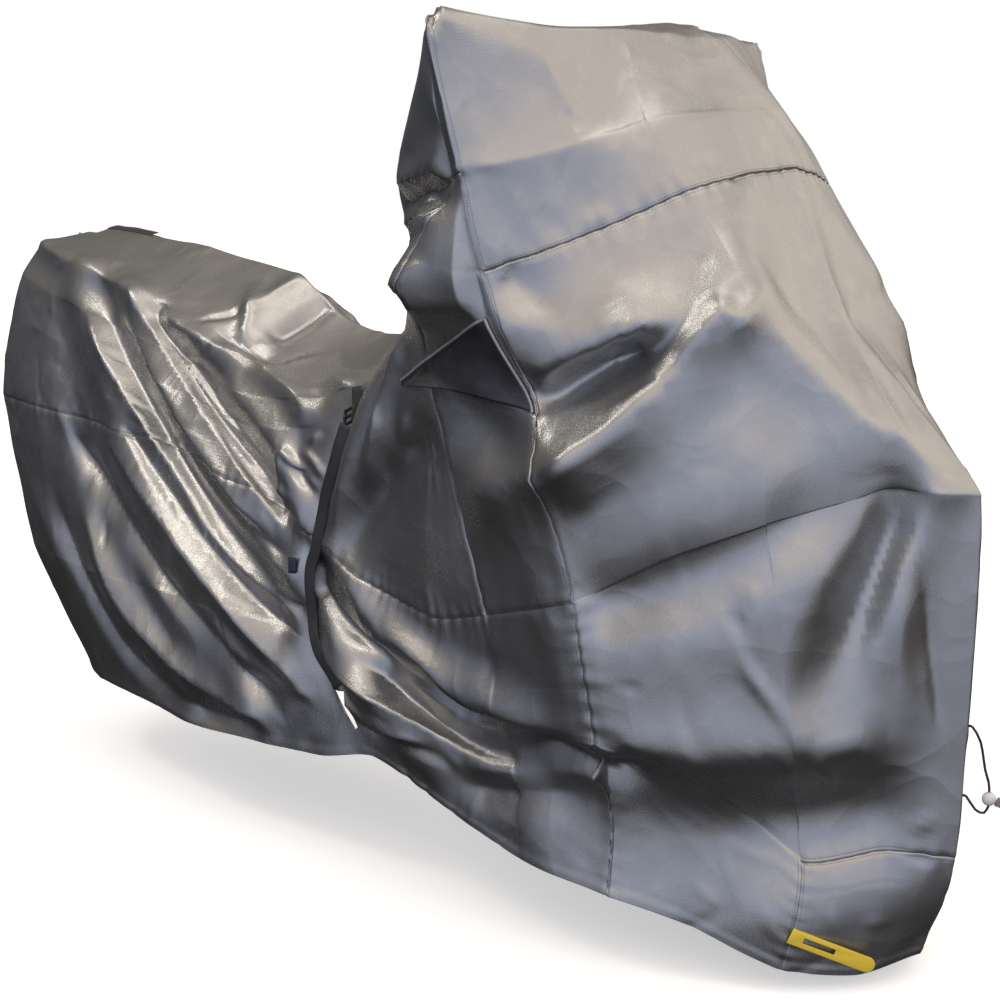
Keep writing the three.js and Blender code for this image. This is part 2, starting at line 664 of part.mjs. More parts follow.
// Cord that comes straight out of the cloth at its exit and follows its path
// to one end of the toggle.
function cord({ exit, path, end }) {
  const seat = touch(new THREE.Vector3(...exit), FORWARD).addScaledVector(FORWARD, CORD_SEAT.gap);
  const clear = seat.clone().addScaledVector(FORWARD, CORD_SEAT.straight);
  const ball = new THREE.Vector3(...TOGGLE.at).addScaledVector(UP, end * (TOGGLE.radius + TOGGLE.gap));
  const curve = new THREE.CatmullRomCurve3([seat, clear, ...vectors(path), ball]);
  const section = new THREE.Shape();
  section.absarc(0, 0, CORD_DIAMETER / 2, 0, 2 * Math.PI, false);
  const steps = Math.round(curve.getLength() / (2 * CORD_DIAMETER));
  return new THREE.ExtrudeGeometry(section, { steps, extrudePath: curve, curveSegments: CORD_SIDES / 2 });
}

// Stiff tab on the far side of the toggle, its edge against the ball.
function cordTab() {
  const { along, length, thickness, width } = CORD_TAB;
  const axis = new THREE.Vector3(...along).normalize();
  const geometry = new THREE.BoxGeometry(length, thickness, width);
  geometry.translate(TOGGLE.radius + TOGGLE.gap + length / 2, 0, 0);
  geometry.applyQuaternion(new THREE.Quaternion().setFromUnitVectors(FORWARD, axis));
  return geometry.translate(...TOGGLE.at);
}

const left = new Set(cells);
for (const panel of PANELS) {
  const owned = [...left].filter((cell) =>
    (panel.side === "both" || panel.side === cell.side)
    && cell.column >= columnOf[panel.from] && cell.column < columnOf[panel.to]
    && cell.row >= rowOf[panel.top] && cell.row < rowOf[panel.bottom]);
  owned.forEach((cell) => left.delete(cell));
  const cloth = clothPanel(owned);
  const open = panel.gap ? fromSolid(toSolid(cloth).subtract(toSolid(gapCutter()))) : cloth;
  addPiece(panel.name, open, "cloth");
}

addPiece("vent_hood", ventHood(), "vent");
addPiece("tail_strip", tailStrip(), "webbing");
addPiece("strap_tab", strapTab, "webbing");
addPiece("buckle", buckleGeometry(), "webbing");
addPiece("waist_strap", waistStrap, "webbing");
addPiece("label_tab", labelTab, "webbing");
addPiece("lock_loop", lockLoop(), "yellow");
addPiece("drawcord_upper", cord(CORD_UPPER), "webbing");
addPiece("drawcord_lower", cord(CORD_LOWER), "webbing");
addPiece("cord_toggle", new THREE.SphereGeometry(TOGGLE.radius, 12, 8).translate(...TOGGLE.at), "pale");
addPiece("cord_tab", cordTab(), "webbing");

export default root;
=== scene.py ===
import math
import bpy
import numpy as np
from mathutils import Matrix, Vector
from mathutils.bvhtree import BVHTree


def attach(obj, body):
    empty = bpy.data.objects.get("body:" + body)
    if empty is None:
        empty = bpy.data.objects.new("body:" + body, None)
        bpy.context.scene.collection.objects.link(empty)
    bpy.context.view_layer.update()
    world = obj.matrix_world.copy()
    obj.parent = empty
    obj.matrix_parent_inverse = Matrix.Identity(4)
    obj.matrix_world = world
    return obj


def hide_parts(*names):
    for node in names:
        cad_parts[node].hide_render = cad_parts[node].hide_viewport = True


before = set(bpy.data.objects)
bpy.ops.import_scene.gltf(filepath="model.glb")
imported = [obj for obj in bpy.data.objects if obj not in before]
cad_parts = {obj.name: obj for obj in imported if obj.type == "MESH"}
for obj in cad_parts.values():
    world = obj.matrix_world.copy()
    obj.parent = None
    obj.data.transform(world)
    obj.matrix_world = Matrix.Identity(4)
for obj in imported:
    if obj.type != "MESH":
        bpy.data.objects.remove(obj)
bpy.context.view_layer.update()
bpy.ops.object.select_all(action="DESELECT")

# Draped body
# One large shell of coated polyester hangs over bars, seat and tail, and is sewn up from panels.
# Its shape runs through cross sections from tail to nose, given in millimetres from the floor.
ORIGIN = np.array([300.0, 0.0, 1423.0])
CELL = 7.7
FRONT_COLUMNS = 1.5
ROUNDNESS = 0.62
SEAM_LINE = 0.4
LEVELS = {
    "crown": 1, "ridge": 0.5, "upper": 1, "yoke": 1, "middle": 0.6, "seam": 0.35, "low": 0.8, "hem": 1,
}
SECTIONS = {
    "rear_end": (1, [(-1205, 0, 1085), (-1225, 0, 1078), (-1262, 0, 1010), (-1300, 0, 920),
                     (-1325, 0, 820), (-1328, 0, 735), (-1210, 0, 420), (-1050, 0, 165)]),
    "rear_round": (1, [(-1185, 0, 1085), (-1219, 78, 1070), (-1255, 95, 1005), (-1290, 105, 915),
                       (-1312, 112, 820), (-1312, 118, 735), (-1198, 122, 425), (-1035, 95, 168)]),
    "rear_corner": (1, [(-1120, 0, 1085), (-1190, 100, 1060), (-1215, 140, 1000), (-1235, 160, 910),
                        (-1250, 172, 820), (-1252, 180, 735), (-1142, 190, 425), (-985, 160, 172)]),
    "rear_quarter": (1, [(-1000, 0, 1085), (-1040, 130, 1030), (-1060, 165, 960), (-1075, 185, 880),
                         (-1085, 200, 800), (-1085, 210, 730), (-1000, 235, 425), (-880, 210, 178)]),
    "tail_middle": (1, [(-800, 0, 1072), (-815, 150, 982), (-830, 185, 915), (-840, 205, 850),
                        (-845, 218, 780), (-845, 228, 718), (-810, 260, 420), (-690, 245, 178)]),
    "tail_front": (0.7, [(-475, 0, 1020), (-550, 165, 928), (-580, 195, 860), (-600, 215, 805),
                         (-605, 230, 750), (-605, 242, 700), (-580, 275, 420), (-460, 275, 172)]),
    "seat_back": (1, [(-352, 0, 948), (-410, 175, 856), (-415, 205, 810), (-410, 222, 765),
                      (-395, 240, 710), (-375, 255, 660), (-360, 282, 420), (-250, 282, 185)]),
    "seat_dip": (1, [(-230, 0, 920), (-245, 180, 850), (-245, 210, 810), (-250, 230, 760),
                     (-245, 248, 700), (-240, 262, 625), (-225, 282, 410), (-110, 280, 195)]),
    "waist": (1, [(-60, 0, 935), (-40, 175, 900), (-30, 220, 870), (-45, 245, 810),
                  (-85, 265, 710), (-130, 278, 580), (-115, 282, 390), (10, 272, 218)]),
    "tank": (1, [(70, 0, 1010), (98, 210, 1040), (112, 260, 1000), (100, 285, 930),
                 (60, 290, 800), (60, 290, 520), (60, 290, 330), (160, 288, 190)]),
    "grip": (1, [(150, 0, 1200), (150, 330, 1204), (165, 318, 1120), (155, 318, 1000),
                 (170, 318, 840), (200, 305, 500), (210, 300, 320), (270, 300, 165)]),
    "gusset": (0.6, [(262, 0, 1415), (284, 398, 1424), (326, 392, 1205), (262, 372, 1090),
                     (215, 335, 900), (330, 325, 530), (360, 315, 340), (390, 305, 140)]),
    "bar": (0.3, [(300, 0, 1425), (301, 410, 1440), (351, 400, 1213), (380, 382, 1069),
                  (457, 362, 862), (525, 350, 583), (557, 330, 371), (562, 310, 120)]),
    "cheek": (1, [(350, 0, 1436), (385, 260, 1427), (452, 280, 1250), (510, 266, 1133),
                  (600, 290, 970), (665, 310, 660), (705, 285, 320), (690, 250, 88)]),
    "lamp": (0.9, [(400, 0, 1445), (450, 135, 1428), (530, 190, 1290), (612, 182, 1190),
                   (705, 190, 1048), (800, 240, 720), (840, 185, 205), (802, 180, 38)]),
    "brow": (1, [(450, 0, 1442), (490, 55, 1420), (585, 85, 1305), (642, 85, 1212),
                 (745, 90, 1020), (905, 85, 765), (925, 85, 222), (880, 95, 25)]),
    "nose": (1, [(478, 0, 1436), (507, 0, 1416), (590, 0, 1310), (641, 0, 1217),
                 (763, 0, 1000), (1000, 0, 758), (986, 0, 210), (930, 0, 45)]),
}


def to_part(points):
    """Millimetres from the floor become metres in the part's frame."""
    return (np.asarray(points, float) - ORIGIN) / 1000


def ease_in(value, length):
    """Rises smoothly from 0 to 1 over a length."""
    t = np.clip(value / length, 0, 1)
    return t * t * (3 - 2 * t)


def unit(vectors):
    """Vectors of length 1."""
    return vectors / np.maximum(np.linalg.norm(vectors, axis=-1, keepdims=True), 1e-9)


def stops_between(lengths, seam_at):
    """Places along each span of a curve, with one more line close to each seam."""
    spans = []
    for i, length in enumerate(lengths):
        count = max(2, round(length / CELL))
        stops = list(np.linspace(0, 1, count + 1)[:-1])
        if i in seam_at:
            stops.insert(1, SEAM_LINE / count)
        if i + 1 in seam_at:
            stops.append(1 - SEAM_LINE / count)
        spans.append(np.array(stops))
    return spans


def curve_through(points, spans, rounds):
    """Smooth curves through rows of points, as round at each row as its value says."""
    last = len(points) - 1
    slopes = []
    for i in range(last + 1):
        slopes.append((points[min(i + 1, last)] - points[max(i - 1, 0)]) * ROUNDNESS * rounds[i] / 2)
    rows = []
    for i, stops in enumerate(spans):
        t = stops[:, None, None]
        ease = ease_in(t, 1)
        bent = slopes[i] * t * (1 - t) ** 2 - slopes[i + 1] * t * t * (1 - t)
        rows.append(points[i] * (1 - ease) + points[i + 1] * ease + bent)
    return np.concatenate(rows + [points[-1:]])


level_names = list(LEVELS)
section_names = list(SECTIONS)
stations = np.array([points for _, points in SECTIONS.values()], float)
column_lengths = np.linalg.norm(np.diff(stations, axis=0), axis=2).mean(axis=1)
column_lengths[section_names.index("bar"):] *= FRONT_COLUMNS
row_lengths = np.linalg.norm(np.diff(stations, axis=1), axis=2).mean(axis=0)
sewn_columns = [section_names.index(n) for n in ("gusset", "bar", "lamp")]
sewn_rows = [level_names.index(n) for n in ("upper", "yoke", "seam", "low", "hem")]
column_spans = stops_between(column_lengths, sewn_columns)
row_spans = stops_between(row_lengths, sewn_rows)
column_of = dict(zip(section_names, np.cumsum([0] + [len(s) for s in column_spans])))
row_of = dict(zip(level_names, np.cumsum([0] + [len(s) for s in row_spans])))
COLUMNS = int(column_of["nose"])
ROWS = int(row_of["hem"])
RING = 2 * COLUMNS
lengthwise = curve_through(stations, column_spans, [row[0] for row in SECTIONS.values()])
half = curve_through(lengthwise.transpose(1, 0, 2), row_spans, list(LEVELS.values()))
right_half = half * (1, -1, 1)
ring = np.concatenate([right_half, half[:, -2:0:-1]], axis=1)
crown_row = np.minimum(np.arange(RING), RING - np.arange(RING))
lower_rows = COLUMNS + 1 + np.arange(ROWS * RING).reshape(ROWS, RING)
vertex_at = np.concatenate([crown_row[None], lower_rows])
skin = np.concatenate([ring[0, : COLUMNS + 1], ring[1:].reshape(-1, 3)])
next_column = np.roll(vertex_at, -1, axis=1)
cells = np.stack([vertex_at[:-1], vertex_at[1:], next_column[1:], next_column[:-1]], axis=2)
cell_list = cells.reshape(-1, 4)


def outward(points):
    """Outward direction at each point of the skin."""
    a, b, c, d = (points[cell_list[:, i]] for i in range(4))
    facing = np.cross(c - a, d - b)
    total = np.zeros_like(points)
    for i in range(4):
        for axis in range(3):
            total[:, axis] += np.bincount(cell_list[:, i], facing[:, axis], len(points))
    return unit(total)


# Big folds
# The loose cloth sags between the bars, the seat and the wheels in wide rolls and hollows.
# Each runs along a path [x, z] on one side and pushes the cloth out or in across its width.
SIDE_STEP = 7
FOLD_ENDS = (0.15, 0.7)
FOLDS = {
    "right": [
        (92, 22, [(705, 1040), (615, 900), (535, 815), (460, 775), (375, 745)]),
        (90, -34, [(630, 950), (525, 915), (430, 890)]),
        (65, 14, [(620, 1015), (550, 990), (450, 950)]),
        (80, 12, [(705, 1040), (815, 885), (950, 770)]),
        (110, -17, [(560, 600), (685, 640), (830, 735)]),
        (70, -20, [(930, 735), (880, 610), (862, 480)]),
        (60, 13, [(950, 765), (920, 640), (900, 510)]),
        (145, -52, [(550, 240), (740, 230), (900, 262)]),
        (110, -14, [(540, 140), (690, 110)]),
        (55, -16, [(-60, 800), (-130, 565), (-142, 435), (-74, 326)]),
        (65, -28, [(-110, 520), (100, 362), (440, 310)]),
        (65, 24, [(-95, 570), (25, 470), (180, 412), (400, 380)]),
        (60, 18, [(-60, 390), (45, 315), (175, 255)]),
        (85, 18, [(-980, 985), (-790, 800), (-625, 625), (-305, 375)]),
        (75, -24, [(-925, 985), (-725, 815), (-520, 640), (-220, 440)]),
        (75, 22, [(-810, 965), (-645, 820), (-430, 670), (-190, 530)]),
        (65, -20, [(-715, 930), (-460, 780), (-275, 660), (-190, 570)]),
        (60, 18, [(-435, 810), (-255, 740), (-170, 610)]),
        (90, -12, [(-1000, 900), (-900, 690), (-755, 485), (-590, 320)]),
        (60, 18, [(45, 915), (-10, 790), (-70, 640)]),
        (80, -22, [(180, 790), (60, 690), (-60, 570)]),
        (75, -22, [(330, 830), (425, 785)]),
        (70, -10, [(330, 1400), (405, 1365), (505, 1295)]),
        (70, 14, [(-520, 490), (-360, 360), (-280, 225)]),
        (70, 14, [(-760, 455), (-630, 315), (-515, 215)]),
    ],
    "left": [
        (85, 20, [(640, 930), (560, 830), (470, 740), (330, 690)]),
        (110, -22, [(520, 600), (690, 650), (850, 760)]),
        (110, -20, [(480, 300), (700, 330), (920, 400)]),
        (70, -24, [(-140, 540), (80, 400), (380, 330)]),
        (70, 20, [(-60, 620), (120, 520), (350, 450)]),
        (80, -22, [(-860, 960), (-620, 760), (-300, 480)]),
        (80, 20, [(-740, 930), (-500, 740), (-180, 540)]),
        (90, 18, [(-1060, 980), (-840, 700), (-560, 380)]),
    ],
}


def on_side(path, side, points):
    """A path [x, z] gets the depth of the cloth that it runs on."""
    own = points[points[:, 1] < 0] if side == "right" else points[points[:, 1] > 0]
    own = own[::SIDE_STEP]
    line = []
    for x, z in path:
        weight = 1 / (((own[:, 0] - x) ** 2 + (own[:, 2] - z) ** 2) ** 2 + 1)
        line.append((x, float((own[:, 1] * weight).sum() / weight.sum()), z))
    return np.array(line)


def nearest_on(line, points):
    """Nearest place of each point on a line: its foot, its share of the line and the line's direction."""
    start = line[:-1]
    span = line[1:] - start
    offset = points[:, None] - start[None]
    t = np.clip((offset * span).sum(2) / np.maximum((span * span).sum(1), 1e-9), 0, 1)
    away = ((offset - t[:, :, None] * span) ** 2).sum(2)
    best = away.argmin(axis=1)
    row = np.arange(len(points))
    t = t[row, best]
    foot = start[best] + t[:, None] * span[best]
    share = (best + t) / len(span)
    return foot, share, unit(span[best])


def reach_of(line, wide, points):
    """Points close enough to a line for it to move them."""
    inside = (points > line.min(axis=0) - wide) & (points < line.max(axis=0) + wide)
    return np.where(inside.all(axis=1))[0]


rise = np.zeros(len(skin))
for side, folds in FOLDS.items():
    for width, height, path in folds:
        line = on_side(path, side, skin)
        near = reach_of(line, width, skin)
        foot, share, _ = nearest_on(line, skin[near])
        far = np.linalg.norm(skin[near] - foot, axis=1) / width
        bump = np.where(far < 1, np.cos(np.pi / 2 * np.minimum(far, 1)) ** 2, 0)
        rise[near] += height * bump * np.sin(np.pi * (FOLD_ENDS[0] + FOLD_ENDS[1] * share)) ** 0.5
skin = skin + outward(skin) * rise[:, None]

# Creases
# Sharp crests, dark troughs and small packing creases lie on the rolls, each along its own path.
# A row gives the path, width and height on its left and on its right, sharpness and how both ends
# fade. Where the two sides are alike, they are given once.
SHARP, MEDIUM, SOFT = 0.9, 0.5, 0.1
CREASES = [
    # Wall under the mirror
    ([(165, -340, 1195), (235, -360, 1205), (325, -395, 1220)], (45, 13), (28, 13), MEDIUM, (0.1, 0.15)),
    ([(200, -365, 1275), (260, -380, 1260), (325, -400, 1245)], (22, 7), MEDIUM, (0.1, 0.15)),
    ([(155, -315, 1135), (205, -340, 1150), (270, -370, 1165)], (26, 8), (24, 8), MEDIUM, (0.1, 0.15)),
    ([(255, -390, 1365), (285, -400, 1325), (330, -410, 1290)], (22, 7), MEDIUM, (0.1, 0.15)),
    ([(170, -325, 1015), (235, -360, 1045), (285, -375, 1085)], (24, 8), (22, 8), MEDIUM, (0.1, 0.15)),
    ([(175, -325, 1070), (250, -365, 1095), (300, -380, 1135)], (20, -7), MEDIUM, (0.1, 0.15)),
    # Screen and yoke
    ([(305, -405, 1438), (335, -360, 1410), (365, -310, 1390), (400, -270, 1370), (440, -240, 1330),
      (500, -210, 1300)], (80, 10), (75, 10), SHARP, (0.02, 0.45)),
    ([(400, -270, 1370), (430, -230, 1380), (450, -195, 1385)], (18, -3), (22, -3), MEDIUM, (0.1, 0.5)),
    ([(400, -270, 1365), (435, -265, 1315), (460, -270, 1275)], (20, 4), (18, 4), MEDIUM, (0.1, 0.5)),
    ([(435, -270, 1310), (450, -265, 1290), (460, -265, 1270)], (14, -4), SHARP, (0.4, 0.4)),
    ([(350, -400, 1220), (410, -335, 1240), (475, -270, 1250), (545, -185, 1290), (585, -110, 1290),
      (620, -50, 1255), (635, -30, 1225)], (55, 3.5), (60, 3.5), SOFT, (0.1, 0.3)),
    ([(650, -100, 1190), (670, -140, 1140), (695, -185, 1085), (715, -215, 1050)],
     (80, 6), (60, 6), MEDIUM, (0.2, 0.4)),
    ([(330, -410, 1305), (355, -380, 1300), (375, -350, 1310)], (16, -4), MEDIUM, (0.05, 0.6)),
    ([(340, -405, 1260), (360, -380, 1280), (375, -365, 1270)], (16, 4), MEDIUM, (0.05, 0.6)),
    ([(470, -290, 1120), (450, -305, 1140), (415, -340, 1150)], (18, -5), MEDIUM, (0.05, 0.6)),
    ([(440, -320, 1100), (410, -345, 1125), (395, -365, 1140)], (18, -5), MEDIUM, (0.05, 0.6)),
    ([(490, -270, 1135), (500, -255, 1150), (510, -250, 1165)], (15, 4), MEDIUM, (0.05, 0.6)),
    # Gusset and front, down to the belly
    ([(270, -370, 1175), (255, -365, 1110), (215, -350, 1035), (190, -335, 960)],
     (120, 13), (60, 9), MEDIUM, (0.1, 0.2)),
    ([(755, -265, 555), (795, -235, 480), (845, -185, 385), (865, -105, 275), (895, -85, 215)],
     (15, 4), SHARP, (0.15, 0.2)),
    ([(745, -260, 625), (765, -250, 620), (790, -240, 615)], (14, 3), SHARP, (0.2, 0.4)),
    ([(755, -260, 600), (765, -255, 578), (775, -250, 555)], (14, -3), SHARP, (0.2, 0.4)),
    ([(235, -360, 1010), (300, -375, 1020), (370, -382, 1030)], (170, 18), (60, 18), SOFT, (0.1, 0.05)),
    ([(400, -365, 1065), (440, -345, 1045), (480, -325, 1015)], (40, -6), SOFT, (0.1, 0.4)),
    ([(390, -365, 985), (445, -350, 990), (490, -325, 1010)], (32, 6), SOFT, (0.1, 0.4)),
    ([(665, -250, 1015), (610, -275, 1000), (570, -295, 985), (515, -320, 960), (440, -340, 900)],
     (38, 11), (60, 11), MEDIUM, (0.35, 0.15)),
    ([(635, -265, 980), (595, -280, 960), (540, -290, 930), (490, -310, 900), (440, -340, 870)],
     (38, -11), MEDIUM, (0.3, 0.2)),
    ([(470, -330, 880), (535, -295, 915), (610, -290, 925)], (24, 5), MEDIUM, (0.2, 0.3)),
    ([(720, -215, 1040), (700, -240, 1005), (670, -260, 960), (645, -285, 915), (625, -310, 885),
      (590, -335, 845), (550, -360, 815), (485, -380, 780)], (110, 13), (48, 15), SHARP, (0.06, 0.15)),
    ([(575, -345, 835), (525, -370, 795), (445, -370, 765), (380, -365, 740), (285, -350, 720)],
     (90, 10), (32, 11), SHARP, (0.2, 0.08)),
    ([(275, -345, 720), (250, -335, 725), (265, -340, 745), (305, -345, 775), (325, -340, 780),
      (365, -340, 770)], (18, 9), MEDIUM, (0.1, 0.3)),
    ([(530, -345, 575), (600, -320, 595), (680, -290, 625), (755, -255, 670), (815, -205, 715),
      (865, -135, 750), (920, -70, 765), (955, -50, 780)], (80, -9), (100, -9), MEDIUM, (0.08, 0.1)),
    ([(530, -345, 605), (575, -330, 595), (655, -310, 555)], (12, -4), SHARP, (0.1, 0.6)),
    ([(390, -355, 725), (405, -345, 640), (465, -340, 560)], (34, 3), (8, 0), MEDIUM, (0.15, 0.1)),
    ([(465, -340, 560), (485, -340, 500), (495, -330, 425), (505, -320, 360)],
     (26, 6), (9, 0), MEDIUM, (0.05, 0.1)),
    # Waist and strap tab
    ([(125, -300, 960), (80, -285, 885), (55, -290, 815), (20, -280, 730), (-20, -275, 655)],
     (52, 10), (20, 10), MEDIUM, (0.1, 0.25)),
    ([(135, -305, 850), (130, -300, 800), (95, -285, 755), (55, -280, 710)],
     (26, 6), (20, 6), MEDIUM, (0.3, 0.3)),
    ([(85, -285, 755), (170, -300, 760), (315, -345, 765)], (30, -5), (24, 3), MEDIUM, (0.2, 0.2)),
    ([(-275, -85, 890), (-205, -135, 870), (-125, -200, 855), (-90, -225, 830)], (24, 8), MEDIUM, (0.2, 0.2)),
    ([(-150, -240, 765), (-155, -245, 750), (-180, -245, 745)], (14, 6), MEDIUM, (0.1, 0.4)),
    ([(-380, -185, 845), (-350, -145, 865), (-320, -110, 880), (-280, -85, 890)],
     (20, -8), (34, 6), MEDIUM, (0.2, 0.2)),
    ([(-525, -170, 915), (-445, -155, 885), (-340, -155, 860)], (22, -9), MEDIUM, (0.2, 0.3)),
    ([(-240, -255, 730), (-240, -260, 705), (-225, -260, 655), (-180, -275, 610)],
     (14, 7), SHARP, (0.1, 0.3)),
    ([(-240, -255, 730), (-195, -260, 705), (-125, -260, 665)], (14, 7), SHARP, (0.1, 0.3)),
    ([(-190, -250, 730), (-165, -250, 730), (-130, -255, 705), (-115, -255, 685)],
     (14, 7), SHARP, (0.2, 0.3)),
    ([(-200, -260, 710), (-165, -260, 680), (-130, -265, 650)], (18, -9), MEDIUM, (0.2, 0.3)),
    # Tail and skirt
    ([(-795, -165, 980), (-715, -180, 920), (-600, -200, 835), (-455, -230, 740), (-325, -255, 655),
      (-175, -270, 570)], (22, 8), (30, 9), SHARP, (0.04, 0.1)),
    ([(-935, -180, 945), (-845, -210, 865), (-755, -225, 790), (-655, -235, 710), (-555, -240, 635),
      (-460, -255, 560), (-355, -260, 500), (-165, -270, 430)], (45, 13), (26, 13), SHARP, (0.1, 0.08)),
    ([(-820, -175, 920), (-700, -210, 835), (-595, -235, 755), (-475, -265, 685), (-360, -275, 605),
      (-165, -280, 525)], (26, -10), MEDIUM, (0.15, 0.1)),
    ([(-825, -230, 735), (-690, -255, 650), (-580, -275, 580), (-455, -290, 500), (-360, -295, 440),
      (-245, -285, 365), (-130, -280, 310)], (50, 9), (36, 12), MEDIUM, (0.15, 0.08)),
    ([(-745, -245, 750), (-620, -260, 655), (-515, -265, 580), (-410, -270, 515), (-285, -275, 440),
      (-150, -275, 395)], (16, -7), (14, -5), MEDIUM, (0.1, 0.1)),
    ([(-980, -220, 700), (-870, -225, 630), (-740, -250, 545), (-620, -270, 465), (-495, -280, 395),
      (-345, -295, 320), (-210, -280, 260)], (36, -14), (34, -14), MEDIUM, (0.15, 0.1)),
    ([(-915, -235, 595), (-810, -255, 475), (-715, -270, 380), (-605, -275, 315), (-460, -280, 265),
      (-245, -285, 230)], (45, 9), (38, 10), MEDIUM, (0.2, 0.1)),
    ([(-1040, -225, 600), (-925, -245, 460), (-820, -250, 330), (-680, -255, 245), (-465, -280, 205),
      (-225, -285, 210)], (34, -8), SOFT, (0.2, 0.1)),
    ([(-1010, -210, 760), (-960, -220, 690), (-900, -230, 615)], (16, 4), (14, 4), SHARP, (0.3, 0.4)),
    ([(-800, -240, 525), (-770, -265, 430), (-750, -260, 350)], (11, -4), SHARP, (0.2, 0.4)),
    ([(-710, -155, 950), (-560, -175, 905), (-410, -170, 860), (-275, -195, 830), (-200, -220, 805),
      (-165, -235, 775)], (26, 9), (60, 9), MEDIUM, (0.1, 0.08)),
    ([(-670, -180, 895), (-530, -195, 810), (-390, -215, 730), (-165, -275, 635)],
     (14, 6), SHARP, (0.1, 0.1)),
    ([(-700, -190, 900), (-560, -210, 810), (-395, -235, 705), (-205, -265, 605)],
     (12, -6), SHARP, (0.1, 0.1)),
    ([(-510, -210, 780), (-385, -230, 700), (-210, -265, 640)], (13, 5), SHARP, (0.2, 0.2)),
    ([(-1205, 66, 1076), (-1120, 72, 1074), (-1030, 80, 1066), (-900, 88, 1048)],
     (90, 13), (60, 13), SOFT, (0.1, 0.4)),
    ([(-1195, -100, 1058), (-1090, -125, 1035), (-940, -135, 1005), (-795, -165, 980), (-695, -160, 940)],
     (95, 9), (42, 9), SHARP, (0.02, 0.15)),
    ([(-1130, -205, 575), (-1010, -235, 470), (-935, -240, 375)], (36, 3), SOFT, (0.3, 0.3)),
    ([(-270, -260, 460), (-205, -270, 460), (-160, -270, 450)], (20, -8), MEDIUM, (0.3, 0.1)),
    ([(-440, -285, 500), (-440, -295, 405)], (9, -3), SHARP, (0.3, 0.3)),
    ([(-390, -285, 480), (-355, -305, 370)], (9, -3), SHARP, (0.3, 0.3)),
    ([(-315, -280, 440), (-300, -295, 325)], (9, -3), SHARP, (0.3, 0.3)),
    ([(-300, -295, 315), (-220, -285, 305), (-125, -280, 300)], (16, 5), MEDIUM, (0.3, 0.1)),
    # Hem in front of the strap
    ([(-145, -265, 510), (-40, -280, 430), (90, -295, 410), (200, -285, 365), (370, -300, 340)],
     (30, -18), MEDIUM, (0.05, 0.2)),
    ([(-140, -260, 520), (-5, -275, 460), (155, -315, 435), (270, -315, 385), (405, -325, 365)],
     (34, 6), (18, 6), MEDIUM, (0.1, 0.2)),
    ([(-145, -265, 495), (-35, -280, 420), (70, -275, 380), (180, -275, 350), (360, -300, 325),
      (435, -310, 300)], (20, 10), MEDIUM, (0.1, 0.2)),
    ([(-25, -285, 415), (90, -275, 350), (245, -290, 305), (425, -310, 300)], (22, -12), MEDIUM, (0.2, 0.2)),
    ([(-140, -265, 425), (-55, -290, 370), (20, -305, 340), (110, -295, 310), (240, -295, 295)],
     (22, 9), MEDIUM, (0.1, 0.2)),
    ([(-90, -270, 335), (-25, -275, 290), (95, -305, 285), (180, -300, 280)], (20, 7), MEDIUM, (0.1, 0.2)),
    ([(-20, -275, 260), (135, -305, 270), (235, -300, 265)], (18, -8), MEDIUM, (0.2, 0.2)),
    ([(415, -310, 345), (505, -325, 335), (575, -320, 315), (635, -290, 335)], (38, -14), SOFT, (0.2, 0.2)),
    ([(200, -295, 215), (390, -305, 245), (565, -325, 285)], (42, -10), SOFT, (0.3, 0.2)),
    ([(510, -315, 185), (530, -315, 210), (545, -320, 235)], (14, 6), MEDIUM, (0.3, 0.3)),
    # Low front and nose
    ([(560, -320, 340), (635, -290, 330), (705, -260, 320), (780, -220, 300), (855, -140, 305),
      (940, -45, 300)], (60, -6), (120, -6), SOFT, (0.1, 0.1)),
    ([(555, -315, 375), (655, -290, 385), (740, -255, 385), (825, -205, 400), (880, -135, 395),
      (915, -85, 395)], (80, 7), (60, 7), SHARP, (0.2, 0.08)),
    ([(905, -105, 230), (890, -115, 260), (875, -125, 280)], (12, 5), SHARP, (0.02, 0.4)),
    ([(905, -105, 230), (940, -55, 255), (970, -15, 280)], (15, 6), SHARP, (0.02, 0.4)),
    ([(905, -105, 230), (935, -65, 215), (970, -20, 205)], (13, -6), SHARP, (0.02, 0.3)),
    ([(905, -105, 230), (875, -145, 215), (845, -180, 190)], (13, -5), SHARP, (0.02, 0.3)),
    ([(745, -265, 535), (810, -215, 445), (855, -145, 345), (875, -120, 300)], (12, 4), SHARP, (0.2, 0.2)),
    ([(745, -255, 435), (755, -240, 400), (760, -230, 365)], (22, 6), SOFT, (0.3, 0.3)),
    ([(695, -290, 450), (705, -275, 405), (710, -265, 360)], (22, -5), SOFT, (0.3, 0.3)),
    ([(720, -215, 1040), (745, -180, 995), (785, -150, 940), (830, -115, 890), (880, -85, 840),
      (930, -50, 810), (960, -35, 795)], (90, 10), (80, 10), SHARP, (0.06, 0.1)),
    ([(915, -65, 735), (890, -90, 660), (875, -115, 585), (875, -130, 530), (865, -145, 475)],
     (36, -9), MEDIUM, (0.1, 0.3)),
    ([(960, -45, 785), (930, -60, 725), (925, -80, 635), (930, -80, 545), (930, -75, 460),
      (930, -60, 365)], (45, 5), SOFT, (0.05, 0.25)),
    ([(935, -65, 675), (945, -55, 620), (960, -40, 495), (965, -25, 395)], (12, -4), SHARP, (0.2, 0.2)),
    ([(800, -30, 955), (845, -60, 895), (895, -65, 835), (915, -65, 805)], (20, 5), SOFT, (0.3, 0.2)),
    ([(730, -270, 640), (765, -255, 625), (795, -240, 620)], (9, -3), SHARP, (0.3, 0.3)),
    ([(740, -265, 605), (760, -260, 575), (770, -250, 545)], (9, -3), SHARP, (0.3, 0.3)),
